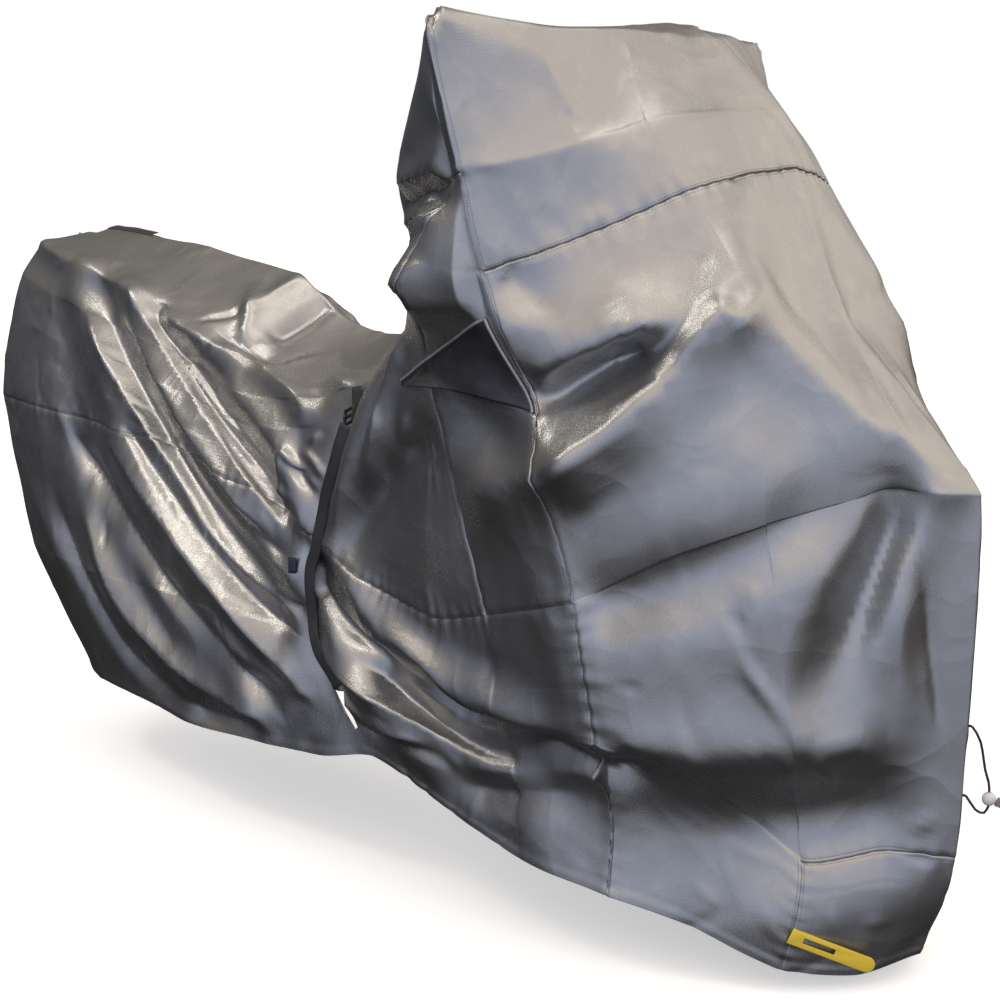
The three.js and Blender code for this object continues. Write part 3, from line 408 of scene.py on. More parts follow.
    ([(570, -330, 460), (645, -310, 470)], (8, -2.5), SHARP, (0.2, 0.3)),
    ([(625, -315, 465), (620, -300, 375)], (8, -2.5), SHARP, (0.2, 0.3)),
    # Ridge of the front
    ([(570, -5, 1335), (635, 30, 1230), (690, 5, 1130), (725, -5, 1060), (775, -20, 985), (835, -50, 910),
      (905, -75, 815)], (42, 5), SOFT, (0.2, 0.2)),
    # Step at the seat
    ([(-605, -170, 920), (-535, -140, 940), (-500, -100, 955)], (14, -5), MEDIUM, (0.2, 0.3)),
    ([(-555, -50, 1000), (-500, -100, 955), (-460, -150, 895)], (26, 9), MEDIUM, (0.2, 0.2)),
    ([(-500, -125, 950), (-478, -60, 985), (-465, 10, 1005)], (40, 8), (34, 8), SHARP, (0.1, 0.1)),
    ([(-425, -115, 910), (-408, -60, 935), (-400, 10, 950)], (45, -14), MEDIUM, (0.1, 0.1)),
]
EDGE = 9
DEPTH = 2
STEEPEST = 0.6
FINE = 16
CREST = 1.7
LINE_STEP = 12
IRONING = 10
FAR_SIDE = {"shift": (45, 0, -30), "share": 0.8, "from": 20}
DRIFTS = [(2.0, (95, 95, 70), 3), (1.0, (38, 38, 30), 5)]
LATTICE = 32


def smooth_line(path):
    """A path becomes an even line through its points."""
    points = np.array(path, float)
    ends = np.concatenate([2 * points[:1] - points[1:2], points, 2 * points[-1:] - points[-2:-1]])
    line = []
    for i in range(len(points) - 1):
        before, start, stop, after = ends[i : i + 4]
        count = max(2, int(np.linalg.norm(stop - start) / LINE_STEP))
        for t in np.linspace(0, 1, count + 1)[:-1]:
            line.append(start + 0.5 * t * (stop - before + t * (2 * before - 5 * start + 4 * stop - after
                        + t * (3 * (start - stop) + after - before))))
    return np.array(line + [points[-1]])


def crease_rise(points, normals, crease, mirror):
    """Height that one crease adds to the points that it reaches."""
    path, *sides, sharp, ends = crease
    left, right = sides[0], sides[-1]
    line = smooth_line(path)
    for _ in range(IRONING):
        line[1:-1] = (line[:-2] + 2 * line[1:-1] + line[2:]) / 4
    if mirror:
        line = line * (1, -1, 1) + FAR_SIDE["shift"]
        left, right = right, left
    near = reach_of(line, max(left[0], right[0]) + EDGE, points)
    foot, share, along = nearest_on(line, points[near])
    away = points[near] - foot
    far = np.linalg.norm(away, axis=1)
    leftwards = (away * np.cross(normals[near], along)).sum(axis=1)
    heights = []
    for width, height in (left, right):
        height = math.copysign(min(abs(height) * DEPTH, STEEPEST * width), height)
        u = np.clip(far / width, 0, 1)
        round_top = np.cos(np.pi / 2 * u) ** 2
        heights.append(height * (round_top * (1 - sharp) + (1 - u) ** CREST * sharp))
    blend = ease_in(np.where(far > 0, leftwards, 0) + EDGE, 2 * EDGE)
    fading = ease_in(share, max(ends[0], 0.01)) * ease_in(1 - share, max(ends[1], 0.01))
    return near, (heights[1] + (heights[0] - heights[1]) * blend) * fading


normals = outward(skin)


def crease_up(rows):
    """Height that a list of creases adds all over, on the right side and turned over on the left."""
    total = np.zeros(len(skin))
    for crease in rows:
        near, height = crease_rise(skin, normals, crease, False)
        total[near] += height
        near, height = crease_rise(skin, normals, crease, True)
        total[near] += height * FAR_SIDE["share"] * (skin[near, 1] > FAR_SIDE["from"])
    return total


rise = crease_up([crease for crease in CREASES if crease[1][0] >= FINE])


def drift(points, size, seed):
    """Slow random change over space, between -1 and 1."""
    table = np.random.default_rng(seed).uniform(-1, 1, (LATTICE, LATTICE, LATTICE))
    place = points / size
    cell = np.floor(place).astype(int)
    t = ease_in(place - cell, 1)
    total = np.zeros(len(points))
    for corner in np.ndindex(2, 2, 2):
        weight = np.prod(np.where(corner, t, 1 - t), axis=1)
        total += weight * table[tuple(((cell + corner) % LATTICE).T)]
    return total


rise += sum(height * drift(skin, size, seed) for height, size, seed in DRIFTS)
skin = skin + normals * rise[:, None]

# Crisp cloth
# The coating makes the weave stiff, so it bends along narrow lines and stays nearly flat between them.
# Cell directions are evened out except across sharp bends, and the points follow them.
CRISP = {"passes": 7, "keen": 0.2, "follow": 12}
NEIGHBOURS = [(0, 1), (0, -1), (1, 0), (-1, 0), (1, 1), (1, -1), (-1, 1), (-1, -1)]

corners = [skin[cell_list[:, i]] for i in range(4)]
facing = np.cross(corners[2] - corners[0], corners[3] - corners[1])
cell_size = np.linalg.norm(facing, axis=1)
facing = unit(facing).reshape(ROWS, RING, 3)
sizes = cell_size.reshape(ROWS, RING, 1)
for _ in range(CRISP["passes"]):
    total = facing * sizes
    for down, along in NEIGHBOURS:
        lines = np.clip(np.arange(ROWS) + down, 0, ROWS - 1)
        beside = np.roll(facing[lines], along, axis=1)
        alike = np.exp(-((beside - facing) ** 2).sum(axis=2, keepdims=True) / (2 * CRISP["keen"] ** 2))
        total += beside * alike * np.roll(sizes[lines], along, axis=1)
    facing = unit(total)
facing = facing.reshape(-1, 3)
shares = np.bincount(cell_list.ravel(), np.repeat(cell_size, 4), len(skin))[:, None]
for _ in range(CRISP["follow"]):
    middle = skin[cell_list].mean(axis=1)
    pull = np.zeros_like(skin)
    for i in range(4):
        gap = ((middle - skin[cell_list[:, i]]) * facing).sum(axis=1) * cell_size
        for axis in range(3):
            pull[:, axis] += np.bincount(cell_list[:, i], facing[:, axis] * gap, len(skin))
    skin = skin + pull / shares

# Fine creases
# Narrow packing creases and short wrinkles from handling stay sharp in the stiff cloth.
# The short ones are scattered, and all lie on the finished folds.
normals = outward(skin)
rise = crease_up([crease for crease in CREASES if crease[1][0] < FINE])
WRINKLES = {
    "count": 520, "length": (50, 150), "width": (13, 20), "height": (0.4, 1.1), "bow": 0.2,
    "ends": (0.4, 0.4),
}
WRINKLE_SEED = 11
chance = np.random.default_rng(WRINKLE_SEED)
for _ in range(WRINKLES["count"]):
    middle = chance.integers(len(skin))
    way = chance.normal(size=3)
    way -= normals[middle] * (way @ normals[middle])
    way *= chance.uniform(*WRINKLES["length"]) / 2 / np.linalg.norm(way)
    bow = np.cross(normals[middle], way) * chance.uniform(-WRINKLES["bow"], WRINKLES["bow"])
    width = chance.uniform(*WRINKLES["width"])
    height = chance.uniform(*WRINKLES["height"]) * chance.choice((-1, 1))
    path = [skin[middle] - way, skin[middle] + bow, skin[middle] + way]
    near, raised = crease_rise(skin, normals, (path, (width, height), MEDIUM, WRINKLES["ends"]), False)
    rise[near] += raised
skin = skin + normals * rise[:, None]

# Seams and hem
# Panels are joined with a folded seam and lockstitch, which pulls the cloth into small puckers.
# The lower edge is turned in twice, which makes it thicker over 14 mm.
SEAM_LINES = [
    ("column", "bar", "crown", "hem"),
    ("column", "gusset", "upper", "seam"),
    ("column", "lamp", "low", "hem"),
    ("row", "upper", "gusset", "bar"),
    ("row", "yoke", "bar", "nose"),
    ("row", "seam", "rear_end", "bar"),
    ("row", "low", "lamp", "nose"),
]
SEAM = {
    "groove": 1.5, "groove_width": 4, "pucker": 1.3, "pucker_reach": 15, "pucker_length": 27,
    "uneven": 2.2, "uneven_length": 43, "none_near": 200.0,
}
HEM = {"width": 14, "thick": 1.6, "past": 3, "step": 6}
side_columns = [np.arange(COLUMNS + 1), (RING - np.arange(COLUMNS + 1)) % RING]


def grid_lengths(points, columns):
    """Running lengths along the rows and down the columns of one side."""
    grid = points[vertex_at[:, columns]]
    across = np.linalg.norm(np.diff(grid, axis=1), axis=2).cumsum(axis=1)
    down = np.linalg.norm(np.diff(grid, axis=0), axis=2).cumsum(axis=0)
    return np.pad(across, ((0, 0), (1, 0))), np.pad(down, ((1, 0), (0, 0)))


seam_far = np.full(len(skin), SEAM["none_near"])
seam_run = np.zeros(len(skin))
hem_far = np.full(len(skin), SEAM["none_near"])
cut_u = np.zeros(len(skin))
cut_v = np.zeros(len(skin))
for columns in side_columns:
    across, down = grid_lengths(skin, columns)
    places = vertex_at[:, columns]
    hem_far[places] = down[-1] - down
    cut_u[places] = across
    cut_v[places] = down
    for kind, at, start, stop in SEAM_LINES:
        if kind == "column":
            rows = slice(row_of[start], row_of[stop] + 1)
            k = column_of[at]
            far = np.abs(across[rows] - across[rows, k : k + 1])
            run = np.broadcast_to(down[rows, k : k + 1], far.shape)
            own = places[rows]
        else:
            span = slice(column_of[start], column_of[stop] + 1)
            r = row_of[at]
            far = np.abs(down[:, span] - down[r, span])
            run = np.broadcast_to(across[r, span], far.shape)
            own = places[:, span]
        closer = far < seam_far[own]
        seam_far[own[closer]] = far[closer]
        seam_run[own[closer]] = run[closer]
uneven = SEAM["uneven"] * np.sin(seam_run / SEAM["uneven_length"])
swell = np.sin(2 * np.pi * seam_run / SEAM["pucker_length"] + uneven)
rise = SEAM["pucker"] * np.exp(-seam_far / SEAM["pucker_reach"]) * swell
rise -= SEAM["groove"] * np.exp(-((seam_far / SEAM["groove_width"]) ** 2))
rise += HEM["thick"] * ease_in(HEM["width"] + HEM["past"] - hem_far, HEM["step"])
skin = skin + outward(skin) * rise[:, None]
cloth_tree = BVHTree.FromPolygons(to_part(skin).tolist(), cell_list.tolist())


# Cloth material
# The coated weave is satin: it shines on crests, goes dark in troughs and carries fine stitches.
# Faint dust, handling marks and the thread grid break up the grey.
class Socket:
    """A value in a node tree that takes part in sums."""

    def __init__(self, shader, socket):
        self.shader = shader
        self.socket = socket

    def sum_with(self, operation, first, second):
        return self.shader.node("ShaderNodeMath", {"operation": operation}, {0: first, 1: second})

    def __add__(self, other):
        return self.sum_with("ADD", self, other)

    __radd__ = __add__

    def __sub__(self, other):
        return self.sum_with("SUBTRACT", self, other)

    def __mul__(self, other):
        return self.sum_with("MULTIPLY", self, other)

    def __lt__(self, other):
        return self.sum_with("LESS_THAN", self, other)

    def math(self, operation, other=0.0):
        return self.sum_with(operation, self, other)


class Nodes:
    """A node tree under making: all its nodes come from one method."""

    def __init__(self, tree):
        self.tree = tree

    def node(self, kind, settings, sockets, output=0):
        made = self.tree.nodes.new(kind)
        for key, value in settings.items():
            if key == "stops":
                for i, (place, colour) in enumerate(value):
                    ramp = made.color_ramp.elements
                    stop = ramp[i] if i < 2 else ramp.new(place)
                    stop.position = place
                    stop.color = (*colour, 1)
            else:
                setattr(made, key, value)
        for key, value in sockets.items():
            if isinstance(value, Socket):
                self.tree.links.new(value.socket, made.inputs[key])
            else:
                made.inputs[key].default_value = value
        return None if output is None else Socket(self, made.outputs[output])

    def mix(self, share, first, second):
        settings = {"data_type": "RGBA", "clamp_factor": True}
        colours = [c if isinstance(c, Socket) else (*c, 1) for c in (first, second)]
        return self.node("ShaderNodeMix", settings, {"Factor": share, 6: colours[0], 7: colours[1]}, 2)


class Finish(Nodes):
    """A material under making, with the patterns that these finishes share."""

    def __init__(self, name):
        self.material = bpy.data.materials.new(name)
        self.material.use_nodes = True
        super().__init__(self.material.node_tree)
        self.surface = self.tree.nodes["Principled BSDF"]

    def object_place(self):
        return self.node("ShaderNodeTexCoord", {}, {}, "Object")

    def attribute(self, name):
        return self.node("ShaderNodeAttribute", {"attribute_name": name}, {}, "Fac")

    def noise(self, scale, detail=3.0, rough=0.5):
        sockets = {"Vector": self.object_place(), "Scale": scale, "Detail": detail, "Roughness": rough}
        return self.node("ShaderNodeTexNoise", {}, sockets, "Fac")

    def bump(self, height, distance, strength, under=None):
        sockets = {"Height": height, "Distance": distance, "Strength": strength}
        if under is not None:
            sockets["Normal"] = under
        return self.node("ShaderNodeBump", {}, sockets)

    def set(self, **values):
        for key, value in values.items():
            socket = self.surface.inputs[key.replace("_", " ")]
            if isinstance(value, Socket):
                self.tree.links.new(value.socket, socket)
            else:
                socket.default_value = value
        return self.material


CLOTH_GREY = (0.41, 0.405, 0.395)
CLOTH_DUSTY = (0.47, 0.46, 0.44)
CLOTH_WORN = (0.36, 0.36, 0.355)
THREAD = (0.2, 0.2, 0.205)
MILLIMETRES = 1000
STITCH = {"away": 5, "half": 0.8, "pace": 0.22, "share": 0.68}
WEAVE = 4.2
FACET_SCALE = 13.0
FACET_SHIFT = (0.16, -0.16, 0.16)
finish = Finish("coated_cloth")
far = finish.attribute("seam_far") * MILLIMETRES
run = finish.attribute("seam_run") * MILLIMETRES
warp = finish.attribute("cut_u") * MILLIMETRES
weft = finish.attribute("cut_v") * MILLIMETRES
stitch_row = (far - STITCH["away"]).math("ABSOLUTE") < STITCH["half"]
stitch = stitch_row * ((run * STITCH["pace"]).math("FRACT") < STITCH["share"])
threads = (warp * WEAVE).math("SINE") * (weft * WEAVE).math("SINE")
cloud = finish.noise(5.5, 2.0, 0.6)
grain = finish.noise(420.0, 0.0, 0.6)
wander = finish.noise(7.0, 1.0)
shifted = finish.node("ShaderNodeVectorMath", {"operation": "MULTIPLY_ADD"},
                      {0: wander, 1: FACET_SHIFT, 2: finish.object_place()})
facets = finish.node("ShaderNodeTexVoronoi", {}, {"Vector": shifted, "Scale": FACET_SCALE}, "Distance")
shade = finish.mix((cloud - 0.4) * 2.4, CLOTH_WORN, CLOTH_GREY)
dust = finish.noise(17.0, 5.0, 0.65)
shade = finish.mix((dust - 0.52) * 2.2, shade, CLOTH_DUSTY)
shade = finish.mix((grain - 0.5) * 0.5, shade, CLOTH_DUSTY)
shade = finish.mix(stitch * 0.75, shade, THREAD)
relief = finish.bump(facets, 0.003, 0.6)
relief = finish.bump(threads * 0.6 - stitch * 1.2, 0.0002, 0.35, relief)
cloth_finish = finish.set(
    Base_Color=shade,
    Metallic=0.88,
    Roughness=0.22 + cloud * 0.06 + grain * 0.03,
    Normal=relief,
)

# Sewn panels
# Seven pieces of the same cloth make up the cover: tail, skirt, two gussets, screen, front and wheel.
# Each is a thin sheet cut along the seam lines and sewn to its neighbours.
CLOTH_THICKNESS = 0.0012
PANELS = [
    ("panel_wheel", ("right", "left"), ("lamp", "nose"), ("low", "hem"), (0.62, 0.26), 0.089),
    ("panel_gusset_right", ("right",), ("gusset", "bar"), ("upper", "seam"), (0.9, 0.3), 0.13),
    ("panel_gusset_left", ("left",), ("gusset", "bar"), ("upper", "seam"), (0.9, 0.3), 0.13),
    ("panel_windshield", ("right", "left"), ("bar", "nose"), ("crown", "yoke"), (1.15, 0.62), 0.41),
    ("panel_front", ("right", "left"), ("bar", "nose"), ("yoke", "hem"), (1.55, 1.2), 1.3),
    ("panel_skirt", ("right", "left"), ("rear_end", "bar"), ("seam", "hem"), (4.1, 0.75), 1.95),
    ("panel_tail", ("right", "left"), ("rear_end", "bar"), ("crown", "seam"), (2.2, 1.5), 2.2),
]
taken = np.zeros((ROWS, RING), bool)
cloth_pieces = {}


def keep_piece(piece, node):
    """A finished piece stands for its node and goes with the cover."""
    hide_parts(node)
    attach(piece, "root")


def mesh_piece(name, points, faces, material):
    """A smooth mesh object from points in metres."""
    mesh = bpy.data.meshes.new(name)
    mesh.from_pydata(np.asarray(points).tolist(), [], [list(map(int, face)) for face in faces])
    mesh.materials.append(material)
    mesh.shade_smooth()
    piece = bpy.data.objects.new(name, mesh)
    bpy.context.scene.collection.objects.link(piece)
    return piece


def take_up(piece):
    """One piece is selected and active, and no other is."""
    bpy.ops.object.select_all(action="DESELECT")
    bpy.context.view_layer.objects.active = piece
    piece.select_set(True)


def give_thickness(piece, thickness, offset):
    """A sheet gets its thickness, and the modifier is applied."""
    take_up(piece)
    wall = piece.modifiers.new("thickness", "SOLIDIFY")
    wall.thickness = thickness
    wall.offset = offset
    bpy.ops.object.modifier_apply(modifier=wall.name)
    piece.select_set(False)


for name, sides, span, levels, flat, area in PANELS:
    owned = np.zeros((ROWS, RING), bool)
    first, last = column_of[span[0]], column_of[span[1]]
    for side in sides:
        columns = slice(first, last) if side == "right" else slice(RING - last, RING - first)
        owned[row_of[levels[0]] : row_of[levels[1]], columns] = True
    owned &= ~taken
    taken |= owned
    faces = cells[owned]
    used, renumbered = np.unique(faces, return_inverse=True)
    piece = mesh_piece(name + "_sheet", to_part(skin[used]), renumbered.reshape(-1, 4), cloth_finish)
    for label, values in (("seam_far", seam_far), ("seam_run", seam_run), ("cut_u", cut_u), ("cut_v", cut_v)):
        layer = piece.data.attributes.new(label, "FLOAT", "POINT")
        layer.data.foreach_set("value", (values[used] / 1000).astype(np.float32))
    give_thickness(piece, CLOTH_THICKNESS, -1)
    keep_piece(piece, name)
    cloth_pieces[name] = piece


# Hem gap
# Beside the strap's lower end two folds part at the hem and leave a narrow slot to look through.
# A wedge of that outline is taken out of the skirt.
GAP_CORNERS = [(-84, 318), (-56, 322), (-26, 262), (-32, 258)]
GAP_DEPTH = (-400, -180)
bpy.ops.object.select_all(action="DESELECT")
bpy.ops.mesh.primitive_cube_add(size=1)
wedge = bpy.context.object
wedge_corners = {(-1, 1): 0, (1, 1): 1, (1, -1): 2, (-1, -1): 3}
for vertex in wedge.data.vertices:
    x, y, z = (1 if value > 0 else -1 for value in vertex.co)
    corner = GAP_CORNERS[wedge_corners[(x, z)]]
    vertex.co = to_part((corner[0], GAP_DEPTH[(y + 1) // 2], corner[1]))
cut = cloth_pieces["panel_skirt"].modifiers.new("gap", "BOOLEAN")
cut.object = wedge
cut.operation = "DIFFERENCE"
bpy.context.view_layer.objects.active = cloth_pieces["panel_skirt"]
bpy.ops.object.modifier_apply(modifier=cut.name)
bpy.data.objects.remove(wedge)

# Waist strap, tab and label
# Black 25 mm polyester webbing hangs from a ladder buckle down to its cut end, and a short tab of
# webbing holds the buckle. A bare navy tab is caught in the seam beside the strap.
STRAP_PATH = [
    (-51, 791), (-70, 730), (-105, 655), (-130, 565), (-145, 525), (-142, 435), (-112, 385), (-74, 326),
]
TAB_PATH = [(-66, 852), (-56, 808)]
LABEL_PATH = [(-178, 545), (-176, 517)]
WEBBING_BLACK = (0.018, 0.018, 0.02)
WEBBING_LIT = (0.05, 0.05, 0.054)
LABEL_NAVY = (0.012, 0.016, 0.05)
LABEL_LIT = (0.03, 0.035, 0.08)
BAND = {"lift": 0.0009, "thickness": 0.0016, "cells": 6, "step": 7, "pull": 2, "even": 3}
RAY_START = 3
WEBBING_RIBS = (2.6, 3.4)
SIDEWAYS, DOWNWARDS = Vector((0, 1, 0)), Vector((0, 0, -1))


def webbing_finish(name, dark, lit):
    """Narrow ribbed weave, paler where it is worn."""
    finish = Finish(name)
    along = finish.attribute("along") * MILLIMETRES
    wide = finish.attribute("wide") * MILLIMETRES
    ribs = (along * WEBBING_RIBS[0]).math("SINE") * (wide * WEBBING_RIBS[1]).math("SINE")
    worn = finish.noise(60.0, 4.0, 0.6)
    shade = finish.mix(ribs * 0.25 + worn * 0.7, dark, lit)
    relief = finish.bump(ribs * 0.5 + worn * 0.4, 0.0004, 0.7)
    return finish.set(Base_Color=shade, Roughness=0.5 + worn * 0.25, Normal=relief)


def touch(place, way):
    """Where a line in a direction first meets the cloth, and the cloth's direction there."""
    spot, normal, _, _ = cloth_tree.ray_cast(Vector(to_part(place)) - way * RAY_START, way)
    return spot, (normal if normal.dot(way) < 0 else -normal)


def sheet_piece(name, grid, material):
    """A grid of points becomes a sheet with its two running lengths."""
    rows, columns = len(grid), len(grid[0])
    points = [point for row in grid for point in row]
    faces = []
    for i in range(rows - 1):
        for j in range(columns - 1):
            a = i * columns + j
            faces.append((a, a + columns, a + columns + 1, a + 1))
    piece = mesh_piece(name, points, faces, material)
    for label, turn in (("along", False), ("wide", True)):
        lines = np.array(grid, float).transpose(1, 0, 2) if turn else np.array(grid, float)
        steps = np.linalg.norm(np.diff(lines, axis=0), axis=2).cumsum(axis=0)
        runs = np.concatenate([np.zeros((1, steps.shape[1])), steps])
        runs = runs.T if turn else runs
        layer = piece.data.attributes.new(label, "FLOAT", "POINT")
        layer.data.foreach_set("value", runs.ravel().astype(np.float32))
    return piece


def band_on_cloth(name, path, width, material):
    """Flat webbing that follows the cloth of the right side along a path [x, z]."""
    line = smooth_line([(x, z, 0) for x, z in path])[:, :2]
    lengths = np.concatenate([[0], np.linalg.norm(np.diff(line, axis=0), axis=1).cumsum()])
    marks = np.linspace(0, lengths[-1], max(4, round(lengths[-1] / BAND["step"])) + 1)
    centres = np.stack([np.interp(marks, lengths, line[:, i]) for i in (0, 1)], axis=1)
    run = unit(np.gradient(centres, axis=0))
    reach = (np.arange(BAND["cells"] + 1) / BAND["cells"] - 0.5) * width
    sideways = np.stack([-run[:, 1], run[:, 0]], axis=1)
    places = centres[:, None] + reach[None, :, None] * sideways[:, None]
    depth = np.array([[touch((x, 0, z), SIDEWAYS)[0].y for x, z in row] for row in places]).min(axis=1)
    padded = np.pad(depth, BAND["pull"], mode="edge")
    taut = np.min([padded[i : i + len(depth)] for i in range(2 * BAND["pull"] + 1)], axis=0)
    padded = np.pad(taut, BAND["even"], mode="edge")
    taut = np.mean([padded[i : i + len(depth)] for i in range(2 * BAND["even"] + 1)], axis=0)
    taut = np.minimum(taut, depth) - BAND["lift"]
    grid = []
    for row, y in zip(places, taut):
        grid.append([Vector(to_part((x, 0, z))) + SIDEWAYS * y for x, z in row[::-1]])
    piece = sheet_piece(name, grid, material)
    give_thickness(piece, BAND["thickness"], 1)
    return piece, lengths[-1] / 1000


webbing = webbing_finish("black_webbing", WEBBING_BLACK, WEBBING_LIT)
for name, node, path, width, material in (
    ("waist_strap_webbing", "waist_strap", STRAP_PATH, 25, webbing),
    ("strap_tab_webbing", "strap_tab", TAB_PATH, 22, webbing),
    ("label_tab_ribbon", "label_tab", LABEL_PATH, 19, webbing_finish("navy_ribbon", LABEL_NAVY, LABEL_LIT)),
):
    piece, length = band_on_cloth(name, path, width, material)
    keep_piece(piece, node)
    width / 1000

# Tail strip
# A thin black strip is sewn along the far top edge of the tail by its near side. Its far side
# is loose and stands up a little.
TAIL_STRIP = {
    "from": (-1185, 62), "to": (-1040, 78), "width": 20, "stand": 0.007, "lift": 0.0009, "thickness": 0.0012,
    "along": 22, "across": 5,
}
grid = []
for t in np.linspace(0, 1, TAIL_STRIP["along"]):
    x = TAIL_STRIP["from"][0] * (1 - t) + TAIL_STRIP["to"][0] * t
    y = TAIL_STRIP["from"][1] * (1 - t) + TAIL_STRIP["to"][1] * t
    row = []
    for s in np.linspace(-0.5, 0.5, TAIL_STRIP["across"]):
        spot, out = touch((x, y + s * TAIL_STRIP["width"], ORIGIN[2]), DOWNWARDS)
        row.append(spot + out * (TAIL_STRIP["lift"] + TAIL_STRIP["stand"] * (s + 0.5)))
    grid.append(row)
strip = sheet_piece("tail_strip_ribbon", [row[::-1] for row in grid], webbing)
give_thickness(strip, TAIL_STRIP["thickness"], 1)
keep_piece(strip, "tail_strip")

# Vent hood
# A black hood of glossier cloth covers the vent under the mirror. Its upper and front edges are
# bound and sewn down, and its lower edge hangs free and bows out.
VENT = {
    "rear": (128, 884), "top": (384, 1000), "bottom": (447, 862), "tip": 10, "lift": 1.4, "billow": 17,
    "sag": 16, "fold": 2.6, "folds_along": 9, "folds_across": 4, "thickness": 0.0015,
}
VENT_BLACK = (0.012, 0.012, 0.014)
VENT_SHEEN = (0.035, 0.036, 0.04)
VENT_WEAVE = 4.0
BINDING = (0.46, 0.45, 0.44)
BINDING_WORN = (0.3, 0.3, 0.3)
BINDING_TUBE = {"radius": 0.0026, "sides": 3, "out": 0.0016}
along_count, across_count = 40, 22
grid = []
for i in range(along_count + 1):
    t = i / along_count
    high = np.array(VENT["rear"]) * (1 - t) + np.array(VENT["top"]) * t
    low = np.array((VENT["rear"][0], VENT["rear"][1] - VENT["tip"])) * (1 - t) + np.array(VENT["bottom"]) * t
    low[1] += VENT["sag"] * math.sin(math.pi * t)
    row = []
    for j in range(across_count + 1):
        s = j / across_count
        x, z = low * (1 - s) + high * s
        spot, _ = touch((x, 0, z), SIDEWAYS)
        bow = VENT["billow"] * (1 - s) ** 2 * math.sin(math.pi * t)
        wave = math.sin(VENT["folds_along"] * t + VENT["folds_across"] * s)
        fold = VENT["fold"] * math.sin(math.pi * t) * (1 - s) * wave
        row.append(spot - SIDEWAYS * (VENT["lift"] + bow + fold) / 1000)
    grid.append(row)
finish = Finish("black_vent_cloth")
along = finish.attribute("along") * MILLIMETRES
wide = finish.attribute("wide") * MILLIMETRES
threads = (along * VENT_WEAVE).math("SINE") * (wide * VENT_WEAVE).math("SINE")
wrinkle_and_sheen = finish.noise(38.0, 4.0, 0.6)
# Painted sheen: the black is mixed towards a paler blue-grey on the raised wrinkles, which also set the bump
# and the roughness.
shade = finish.mix(wrinkle_and_sheen, VENT_BLACK, VENT_SHEEN)
relief = finish.bump(wrinkle_and_sheen, 0.003, 0.7)
relief = finish.bump(threads, 0.0003, 0.4, relief)
vent_finish = finish.set(Base_Color=shade, Roughness=0.26 + wrinkle_and_sheen * 0.14, Normal=relief, Coat_Weight=0.25)
hood = sheet_piece("vent_hood_sheet", grid, vent_finish)
give_thickness(hood, VENT["thickness"], 1)
keep_piece(hood, "vent_hood")


def rubbed_finish(name, pattern, colours, sheen, dents=None, **others):
    """A plain finish whose colour and sheen change a little where it is rubbed."""
    finish = Finish(name)
    rub = finish.noise(*pattern)
    if dents is not None:
        others["Normal"] = finish.bump(finish.noise(*dents[0]), *dents[1:])
    return finish.set(Base_Color=finish.mix(rub, *colours), Roughness=sheen[0] + rub * sheen[1], **others)


def tube(name, route, radius, sides, material):
    """A round line along a route, with closed ends."""
    curve = bpy.data.curves.new(name, "CURVE")
    curve.dimensions = "3D"
    curve.bevel_depth = radius
    curve.bevel_resolution = sides
    curve.use_fill_caps = True
    curve.materials.append(material)
    spline = curve.splines.new("POLY")
    spline.points.add(len(route) - 1)
    for point, spot in zip(spline.points, route):
        point.co = (*spot, 1)
    piece = bpy.data.objects.new(name, curve)
    bpy.context.scene.collection.objects.link(piece)
    return piece


binding_finish = rubbed_finish(
    "grey_binding", (140.0, 3.0, 0.6), (BINDING, BINDING_WORN), (0.34, 0.15), Metallic=0.5
)
for name, edge in (("vent_binding_top", [row[-1] for row in grid]), ("vent_binding_front", grid[-1])):
    edge = [place - SIDEWAYS * BINDING_TUBE["out"] for place in edge]
    piece = tube(name, edge, BINDING_TUBE["radius"], BINDING_TUBE["sides"], binding_finish)
    take_up(piece)
    bpy.ops.object.convert(target="MESH")
    piece.data.shade_smooth()
    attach(piece, "root")


# Buckle
# A black moulded ladder buckle holds the strap: a flat frame with two slots and rounded edges.
# The frame keeps the outline of its solid, and its edges get the moulding's soft corners.
MOULD = {"merge": 0.00005, "flat": math.radians(1), "smooth": math.radians(35), "segments": 3}
BUCKLE_EDGE = 0.0011
MOULD_BLACK = (0.012, 0.012, 0.013)
MOULD_RUBBED = (0.03, 0.03, 0.032)


def rounded_copy(node, name, edge, material):
    """A copy of a node with merged points, flat faces joined and all sharp edges rounded."""
    piece = bpy.data.objects[node].copy()
    piece.data = piece.data.copy()
    piece.name = name
    piece.hide_render = False
    bpy.context.scene.collection.objects.link(piece)
    take_up(piece)
    bpy.ops.object.mode_set(mode="EDIT")
    bpy.ops.mesh.select_all(action="SELECT")
    bpy.ops.mesh.remove_doubles(threshold=MOULD["merge"])
    bpy.ops.mesh.dissolve_limited(angle_limit=MOULD["flat"])
    bpy.ops.object.mode_set(mode="OBJECT")
    soft = piece.modifiers.new("soft_edge", "BEVEL")
    soft.width = edge
    soft.segments = MOULD["segments"]
    soft.limit_method = "ANGLE"
    bpy.ops.object.modifier_apply(modifier=soft.name)
    bpy.ops.object.shade_smooth_by_angle(angle=MOULD["smooth"])
    piece.data.materials.clear()
    piece.data.materials.append(material)
    piece.select_set(False)
    return piece


moulding = rubbed_finish(
    "black_moulding", (130.0, 4.0, 0.6), (MOULD_BLACK, MOULD_RUBBED), (0.28, 0.2),
    ((900.0, 2.0, 0.5), 0.0002, 0.4),
)
buckle = rounded_copy("buckle", "buckle_frame", BUCKLE_EDGE, moulding)
keep_piece(buckle, "buckle")

